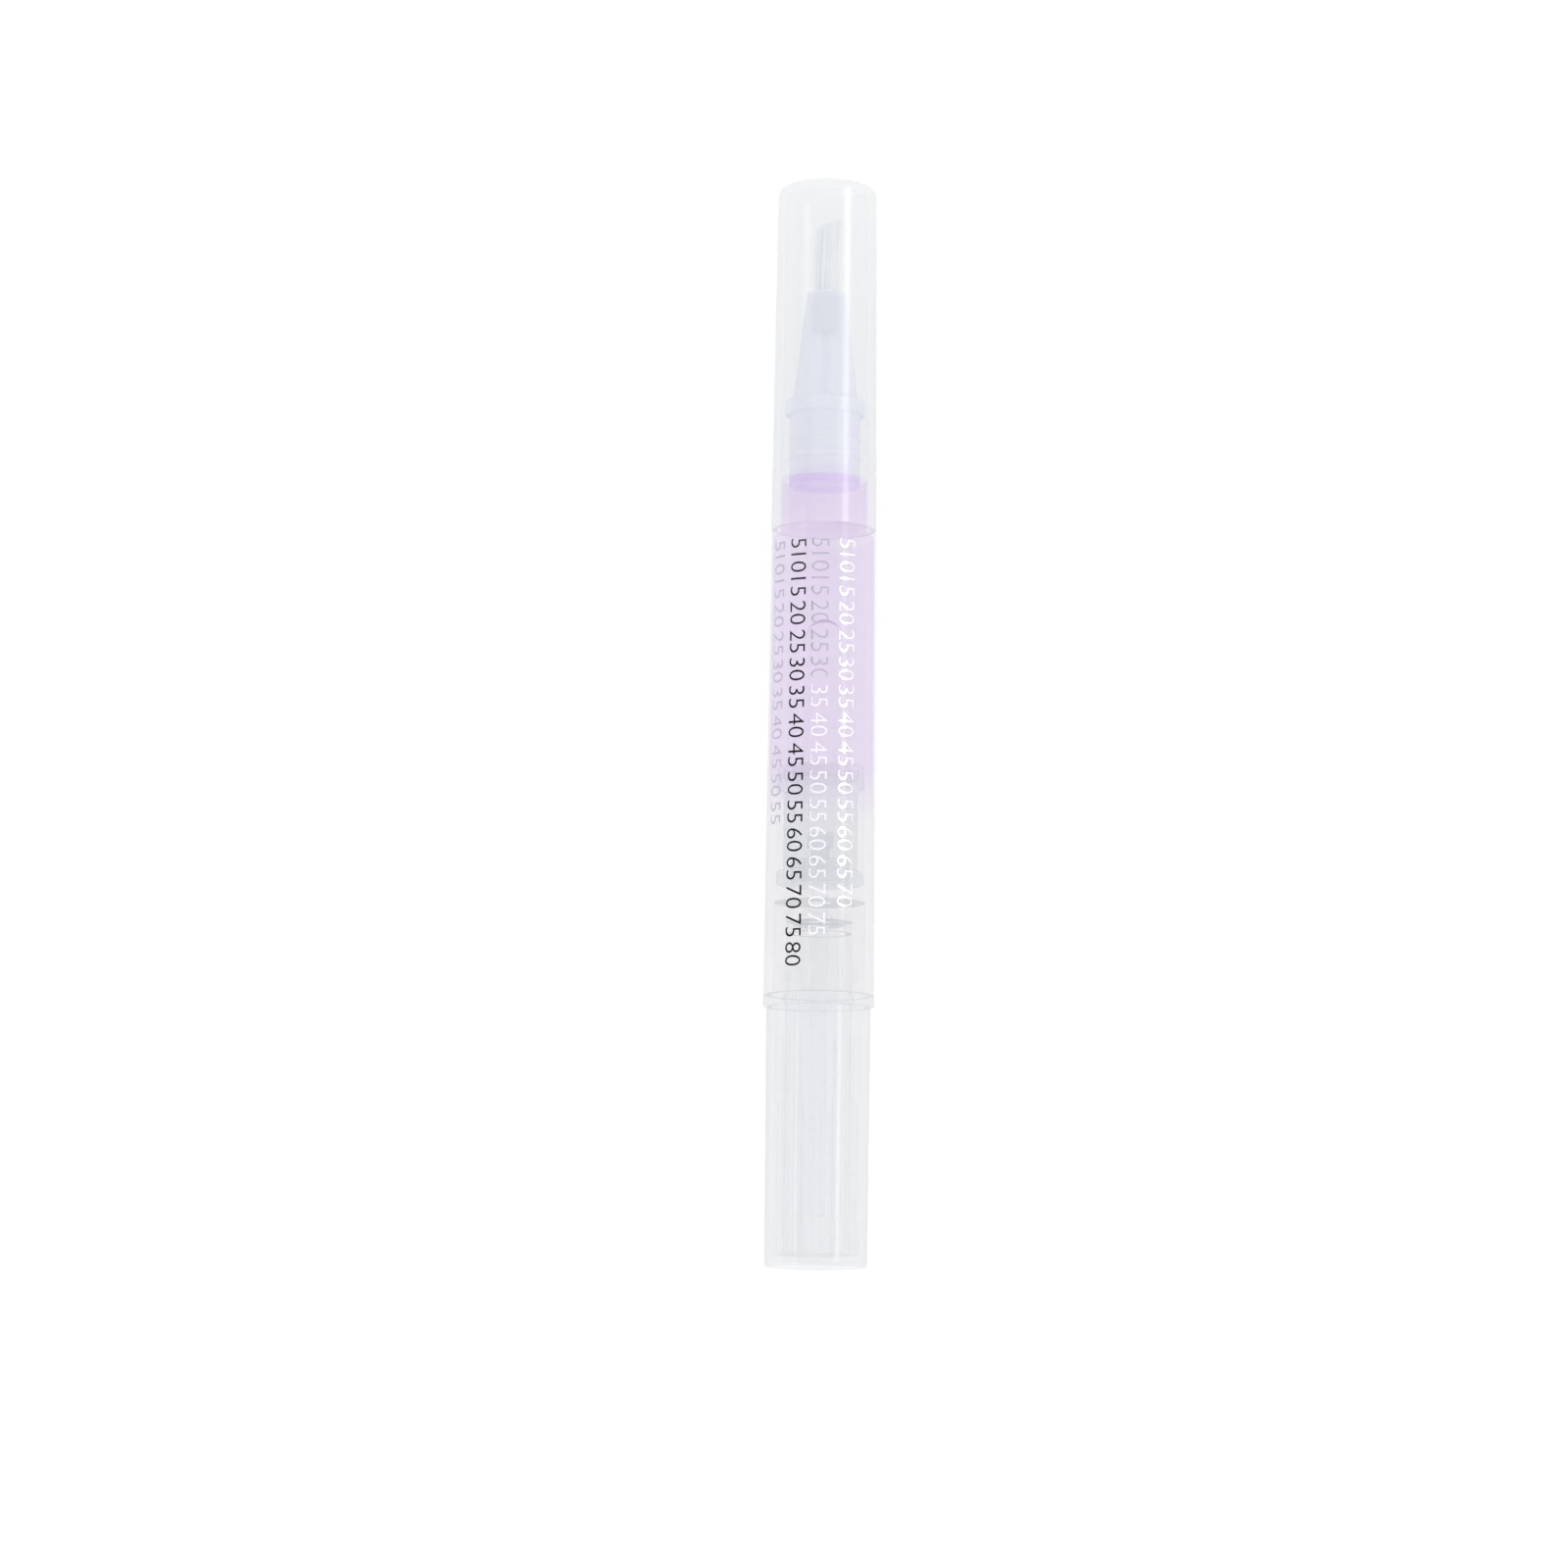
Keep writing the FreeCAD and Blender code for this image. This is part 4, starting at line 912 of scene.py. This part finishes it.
def make_bristles():
    """A tuft of fine bristles round the feed tube.

    Bristle n starts at the golden angle times n and at a radius whose square grows evenly with n.
    Its radius swells from foot to belly and back as a parabola through foot, belly and tip, and it
    ends on the slanted tip plane, short of it by a random bit and by the sixth power of its place in
    the tuft, which rounds the tip. On the way it sways by a random half wave, and it thins towards
    its tip by the eighth power of its height.
    """
    rng = np.random.default_rng(TUFT_SEED)
    n = np.arange(BRISTLE_COUNT) + 0.5
    share = n / BRISTLE_COUNT
    inner = tube_radius + BRISTLE_RADIUS + TUFT_GAP
    foot = np.sqrt(inner ** 2 + (TUFT_FOOT_RADIUS ** 2 - inner ** 2) * share)
    angle = n * math.pi * (3 - math.sqrt(5)) + rng.normal(0, ANGLE_SCATTER, BRISTLE_COUNT)
    belly_gain = (tuft_radius - BRISTLE_RADIUS) / TUFT_FOOT_RADIUS - 1
    t = np.linspace(0, 1, BRISTLE_ROWS)[None, :]
    top_spread = TUFT_TIP_RADIUS / TUFT_FOOT_RADIUS
    side = foot * top_spread * np.sin(angle)
    tip = tuft_tip - TUFT_SLANT * (TUFT_TIP_RADIUS - side) / (2 * TUFT_TIP_RADIUS)
    tip -= TIP_ROUNDING * (foot / TUFT_FOOT_RADIUS) ** 6 + rng.uniform(0, TIP_SCATTER, BRISTLE_COUNT)
    station = tuft_foot + (tip - tuft_foot)[:, None] * t
    height = (station - tuft_foot) / (tuft_tip - tuft_foot)
    belly = TUFT_BELLY / (tuft_tip - tuft_foot)
    swell = belly_gain * height * (1 - height) / (belly * (1 - belly))
    radius = foot[:, None] * (1 + swell + (top_spread - 1) * height)
    sway = rng.normal(0, SWAY, BRISTLE_COUNT)[:, None] * np.sin(math.pi * height)
    bent = angle[:, None] + sway / np.maximum(foot[:, None], SWAY_LEAST_RADIUS)
    middle_x = radius * np.sin(bent) + TUFT_LEAN * height ** 2
    middle_z = radius * np.cos(bent)
    thin = BRISTLE_RADIUS * (1 - BRISTLE_TAPER * t ** 8)
    spoke = np.linspace(0, 2 * math.pi, BRISTLE_SIDES, endpoint=False)
    x = middle_x[..., None] + thin[..., None] * np.cos(spoke)
    z = middle_z[..., None] + thin[..., None] * np.sin(spoke)
    y = np.broadcast_to(station[..., None], x.shape)
    vertices = np.stack([x * MM, PEN_END + y * MM, AXIS_HEIGHT + z * MM], axis=-1)
    wall = grid_faces(BRISTLE_ROWS, BRISTLE_SIDES, rows_meet=False)
    per_bristle = BRISTLE_ROWS * BRISTLE_SIDES
    offsets = (np.arange(BRISTLE_COUNT) * per_bristle)[:, None, None]
    sides = (wall[None] + offsets).reshape(-1, 4)
    end = np.arange(BRISTLE_SIDES)
    ends = np.stack([end, end + per_bristle - BRISTLE_SIDES])
    caps = (ends[None] + offsets).reshape(-1, BRISTLE_SIDES)
    mesh = bpy.data.meshes.new("bristles")
    mesh.from_pydata(vertices.reshape(-1, 3).tolist(), [], sides.tolist() + caps.tolist())
    shape = bmesh.new()
    shape.from_mesh(mesh)
    bmesh.ops.recalc_face_normals(shape, faces=shape.faces)
    shape.to_mesh(mesh)
    shape.free()
    tuft = put_in("bristles", mesh, "barrel", [bristle_nylon], BRISTLE_CREASE)
    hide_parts("brush_tuft")


def make_oil():
    """The oil: a column from the piston up to the shoulder, and the still oil in the neck and nozzle.

    The clear wall works as a lens and shows the oil almost out to the wall's outer face. The oil is
    drawn that wide, a wall skin short of the outer face, because the wall here bends no light.
    """
    wide_top = bore_top - WALL_GAP
    skin = WALL_SKIN
    film_bottom = piston_top - FILM_LENGTH
    column = turned("oil_column", [
        (oil_bottom, 0, 0),
        (oil_bottom, BORE + WALL_GAP, FINE_ROUND),
        (film_bottom, BORE + WALL_GAP, FINE_ROUND),
        (film_bottom, barrel_wall(film_bottom) - skin, FINE_ROUND),
        (wide_top, barrel_wall(wide_top) - skin, 0),
        (wide_top, 0, 0),
    ], "barrel", violet_oil)
    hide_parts("oil_fill")
    reach = wide_top - oil_bottom
    keep = (wide_top - WALL_GAP - piston_top - PISTON_TRAVEL) / reach
    squash_to_shoulder(column)
    throat_top = nozzle_top - TIP_BORE_DEPTH
    flange_top = neck_top + FLANGE_THICKNESS
    film_top = plug_bottom + SEAL_SETBACK - WALL_GAP
    turned("oil_in_neck", [
        (wide_top, 0, 0),
        (wide_top, barrel_wall(wide_top) - skin, 0),
        (wide_top + skin / 2, barrel_wall(wide_top) - skin, FULL_EDGE_ROUND),
        (shoulder - skin / 3, NECK_RADIUS - skin / 2, FULL_EDGE_ROUND),
        (film_top, NECK_RADIUS - skin / 2, SMALL_ROUND),
        (film_top, PLUG_RADIUS + WALL_GAP, FINE_ROUND),
        (oil_top, PLUG_RADIUS + WALL_GAP, FINE_ROUND),
        (oil_top, PLUG_BORE - WALL_GAP, SMALL_ROUND),
        (flange_top - WALL_GAP, PLUG_BORE - WALL_GAP, BROAD_ROUND),
        (throat_top - WALL_GAP, THROAT - WALL_GAP, SMALL_ROUND),
        (throat_top - WALL_GAP, tube_radius + WALL_GAP, FINE_ROUND),
        (tube_bottom - WALL_GAP, tube_radius + WALL_GAP, FINE_ROUND),
        (tube_bottom - WALL_GAP, 0, 0),
    ], "barrel", neck_oil)
    return keep


def squash_to_shoulder(piece):
    """Give a piece a mesh of its own."""
    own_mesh(piece)


def make_bubble():
    """An air bubble under the barrel's wall: an oval pad with a half-round rim, bent to the wall.

    From its middle outwards the rows follow a flat face, then the rim's half circle, and then the
    other face. Every row is an oval of that share of the bubble's size.
    """
    rim = BUBBLE_RIM
    arc = np.linspace(0, math.pi, BUBBLE_RIM_ROWS)
    rows = np.concatenate([[0.0, 0.5], np.ones(len(arc)), [0.5, 0.0]])[:, None]
    inset = np.concatenate([[rim, rim], rim * (1 - np.sin(arc)), [rim, rim]])[:, None]
    lift = np.concatenate([[rim, rim], rim * np.cos(arc), [-rim, -rim]])[:, None]
    turn = np.linspace(0, 2 * math.pi, BUBBLE_AROUND, endpoint=False)[None, :]
    along = rows * (BUBBLE_HALF_LENGTH - inset) * np.cos(turn)
    across = rows * (BUBBLE_HALF_WIDTH - inset) * np.sin(turn)
    middle = barrel_wall(BUBBLE_STATION) - WALL_SKIN - BUBBLE_GAP - rim
    vertices = place(BUBBLE_STATION + along, middle + lift, (BUBBLE_SIDE + across) / middle)
    faces = grid_faces(len(rows), BUBBLE_AROUND, rows_meet=False)
    bubble = finished("air_bubble", vertices, faces, "barrel", bubble_skin, BUBBLE_CREASE)
    squash_to_shoulder(bubble)


# The figures' foil and layout, in millimetres.
FOIL_HEIGHT = 0.016
FOIL_SUNK = 0.004
STRIP_WIDTH = 0.2
STRIP_REACH = 1.2
STRIP_MERGE_DISTANCE = 1e-5
FIGURE_HEIGHT = 2.1
FIGURE_SHARE_OF_SIZE = 0.72
FIGURE_ROOM = 0.62
FIGURE_STEP = 5
SCALE_TOP = 82.0
SCALE_ROWS = (
    (-56.6, 47.2, -0.014, 2),
    (-28.0, 33.2, -0.012, 0),
    (-2.6, 36.1, -0.014, 1),
    (27.6, 39.3, -0.016, 0),
)


def figure_outline(text, height, weight):
    """Flat filled outline of a plain number, so high, its strokes widened by weight times the height."""
    curve = bpy.data.curves.new("figure", "FONT")
    curve.body = text
    curve.size = height / FIGURE_SHARE_OF_SIZE
    curve.offset = weight * height
    curve.resolution_u = 3
    flat = bpy.data.objects.new("figure", curve)
    bpy.context.collection.objects.link(flat)
    bpy.context.view_layer.update()
    mesh = bpy.data.meshes.new_from_object(flat)
    bpy.data.objects.remove(flat)
    bpy.data.curves.remove(curve)
    return mesh


def number_row(length, weight):
    """Plain numbers side by side until they reach the length, flat: u along the row, v up its figures."""
    row = bmesh.new()
    along = 0.0
    figure = FIGURE_STEP
    while along < length:
        mesh = figure_outline(str(figure), FIGURE_HEIGHT, weight)
        spots = np.array([v.co[:] for v in mesh.vertices])
        mesh.transform(Matrix.Translation((along - spots[:, 0].min(), -FIGURE_HEIGHT / 2, 0)))
        row.from_mesh(mesh)
        bpy.data.meshes.remove(mesh)
        along += np.ptp(spots[:, 0]) + FIGURE_ROOM
        figure += FIGURE_STEP
    return row


def thicken(row):
    """Cut a flat row into narrow strips across v, and give it its thickness."""
    for cut in np.arange(-STRIP_REACH, STRIP_REACH + STRIP_WIDTH / 2, STRIP_WIDTH):
        parts = row.verts[:] + row.edges[:] + row.faces[:]
        bmesh.ops.bisect_plane(row, geom=parts, plane_co=(0, cut, 0), plane_no=(0, 1, 0))
    bmesh.ops.remove_doubles(row, verts=row.verts, dist=STRIP_MERGE_DISTANCE)
    for face in row.faces:
        face.normal_update()
        if face.normal.z < 0:
            face.normal_flip()
    raised = bmesh.ops.extrude_face_region(row, geom=row.faces[:])
    for part in raised["geom"]:
        if isinstance(part, bmesh.types.BMVert):
            part.co.z = FOIL_HEIGHT + FOIL_SUNK


def roll(row, degrees):
    """Roll a row onto the barrel: u runs towards the knob, and v is an arc of the barrel's radius."""
    spots = np.array([v.co[:] for v in row.verts])
    station = SCALE_TOP - spots[:, 0]
    wall = barrel_wall(station)
    angle = math.radians(degrees) + spots[:, 1] / wall
    rolled = place(station, wall - FOIL_SUNK + spots[:, 2], angle)
    for vertex, spot in zip(row.verts, rolled):
        vertex.co = spot
    bmesh.ops.recalc_face_normals(row, faces=row.faces)


def face_in_order(face):
    """A face's vertex numbers, from its lowest one on, and its foil."""
    corners = [vertex.index for vertex in face.verts]
    first = corners.index(min(corners))
    return corners[first:] + corners[:first], face.material_index


def make_scale():
    """Generic scale of plain numbers in silver foil, in four rows along the barrel.

    A row is (degrees round the pen, station of its end, stroke weight, foil), and foil 0 is silver,
    1 silver with a painted dark reflection towards its cap end and 2 painted with a lilac shaded
    reflection. The faces are sorted, because bmesh lists them in another order each run.
    """
    everything = bmesh.new()
    for degrees, end, weight, foil in SCALE_ROWS:
        row = number_row(SCALE_TOP - end - FIGURE_HEIGHT, weight)
        thicken(row)
        roll(row, degrees)
        for face in row.faces:
            face.material_index = foil
        mesh = bpy.data.meshes.new("row")
        row.to_mesh(mesh)
        row.free()
        everything.from_mesh(mesh)
        bpy.data.meshes.remove(mesh)
    everything.verts.index_update()
    faces = sorted(face_in_order(face) for face in everything.faces)
    spots = [vertex.co[:] for vertex in everything.verts]
    everything.free()
    mesh = bpy.data.meshes.new("foil_scale")
    mesh.from_pydata(spots, [], [corners for corners, _ in faces])
    mesh.polygons.foreach_set("material_index", [foil for _, foil in faces])
    foils = [silver_foil, foil_painted_dark_at_cap, foil_painted_lilac_reflection]
    put_in("foil_scale", mesh, "barrel", foils, crease=0)


make_cap()
make_barrel()
make_nozzle()
make_piston()
make_knob()
smoothed("thread_insert", "insert_moulding", "barrel", clear_insert)
smoothed("drive_sleeve", "sleeve_moulding", "knob", milky_sleeve)
smoothed("lead_screw", "screw_moulding", "lead_screw", milky_screw)
smoothed("feed_tube", "feed_tube_wall", "barrel", tube_plastic)
smoothed("brush_plug", "bristle_foot", "barrel", fused_foot)
make_bristles()
oil_left = make_oil()
make_bubble()
make_scale()


# The picture is 1600 across and 1600 high. Its scale at the pen's middle, the pixel where that
# middle lies, the camera's distance, its height angle and the pen's lean set the camera.
PICTURE = 1600
PIXELS_PER_METRE = 8986
MIDDLE_PIXEL = (838.5, 734.8)
CAMERA_DISTANCE = 0.640
CAMERA_ELEVATION = math.radians(81.4)
LEAN = math.radians(0.65)
SENSOR = 36.0


def make_camera():
    """Camera that looks at the pen's middle, rolled by the lean and shifted to the photograph's frame."""
    lens = bpy.data.cameras.new("camera")
    lens.sensor_width = SENSOR
    lens.lens = PIXELS_PER_METRE * CAMERA_DISTANCE / PICTURE * SENSOR
    lens.shift_x = (PICTURE / 2 - MIDDLE_PIXEL[0]) / PICTURE
    lens.shift_y = (MIDDLE_PIXEL[1] - PICTURE / 2) / PICTURE
    lens.clip_start = 0.01
    lens.clip_end = 50
    camera = bpy.data.objects.new("camera", lens)
    bpy.context.collection.objects.link(camera)
    middle = Vector((0, (lowest.y + highest.y) / 2, AXIS_HEIGHT))
    back = Vector((0, -math.cos(CAMERA_ELEVATION), math.sin(CAMERA_ELEVATION)))
    turn = back.to_track_quat("Z", "Y").to_matrix() @ Matrix.Rotation(LEAN, 3, "Z")
    camera.matrix_world = Matrix.Translation(middle + back * CAMERA_DISTANCE) @ turn.to_4x4()
    bpy.context.scene.camera = camera


def flat_card(name, middle, width, length, angle, material):
    """A flat card in the plane that faces the pen's axis at the given angle from upright."""
    corners = [(-width / 2, -length / 2, 0), (width / 2, -length / 2, 0),
               (width / 2, length / 2, 0), (-width / 2, length / 2, 0)]
    mesh = bpy.data.meshes.new(name)
    mesh.from_pydata(corners, [], [(0, 1, 2, 3)])
    mesh.materials.append(material)
    card = bpy.data.objects.new(name, mesh)
    bpy.context.collection.objects.link(card)
    card.matrix_world = Matrix.Translation(middle) @ Matrix.Rotation(angle, 4, "Y")
    return card


# The studio, in metres, with its cards' angles round the pen's axis from upright.
FLOOR_SIDE = 8.0
FLOOR_GAP = 0.00002
PAPER_TONES = ((0.42, 0.42, 0.42), (0.44, 0.44, 0.44))
CARD_DISTANCE = 0.8
SOFTBOX_ANGLE = math.radians(48)
SOFTBOX_WIDTH = 0.15
SOFTBOX_LENGTH = 0.9
SOFTBOX_END = 0.36
SOFTBOX_POWER = 1.9
FLAG_ANGLE = math.radians(-53)
FLAG_WIDTH = 0.88
FLAG_START = -0.3
FLAG_END = 0.2
SKY = 1.1
FLOOR_LIGHT = 0.6


def card_place(angle, y):
    """The place at an angle round the pen's axis from upright, a card's distance from it."""
    reach = Vector((math.sin(angle), 0, math.cos(angle))) * CARD_DISTANCE
    return reach + Vector((0, y, AXIS_HEIGHT))


def make_studio():
    """White floor lit from below, even white surroundings, a long softbox and a dark card."""
    scene = bpy.context.scene
    scene.view_settings.view_transform = "Standard"
    scene.cycles.transparent_max_bounces = 40
    scene.cycles.max_bounces = 12
    scene.cycles.diffuse_bounces = 8
    sky = bpy.data.worlds.new("studio")
    sky.use_nodes = True
    sky.node_tree.nodes["Background"].inputs["Color"].default_value = (1, 1, 1, 1)
    sky.node_tree.nodes["Background"].inputs["Strength"].default_value = SKY
    scene.world = sky
    paper = Finish("white paper")
    grain = paper.speckle(size=1.5)
    sheet = paper.add("ShaderNodeBsdfPrincipled", {
        "Base Color": paper.colour(grain, *PAPER_TONES),
        "Roughness": 0.9,
        "Specular IOR Level": 0.0,
        "Emission Color": CLEAR,
        "Emission Strength": FLOOR_LIGHT,
    })
    below = Vector((0, 0, lowest.z - FLOOR_GAP))
    flat_card("floor", below, FLOOR_SIDE, FLOOR_SIDE, 0, paper.done(sheet.outputs[0]))
    lamp = bpy.data.lights.new("softbox", "AREA")
    lamp.shape = "RECTANGLE"
    lamp.size = SOFTBOX_WIDTH
    lamp.size_y = SOFTBOX_LENGTH
    lamp.energy = SOFTBOX_POWER
    softbox = bpy.data.objects.new("softbox", lamp)
    bpy.context.collection.objects.link(softbox)
    where = card_place(SOFTBOX_ANGLE, SOFTBOX_END - SOFTBOX_LENGTH / 2)
    softbox.matrix_world = Matrix.Translation(where) @ Matrix.Rotation(SOFTBOX_ANGLE, 4, "Y")
    softbox.visible_camera = False
    softbox.visible_diffuse = False
    velvet = Finish("dark card")
    dark = velvet.add("ShaderNodeBsdfDiffuse", {"Color": (0.01, 0.01, 0.012)})
    where = card_place(FLAG_ANGLE, (FLAG_START + FLAG_END) / 2)
    flag = flat_card("dark_card", where, FLAG_WIDTH, FLAG_END - FLAG_START, FLAG_ANGLE,
                     velvet.done(dark.outputs[0]))
    for name in ("camera", "diffuse", "transmission", "volume_scatter", "shadow"):
        setattr(flag, f"visible_{name}", False)


make_camera()
make_studio()
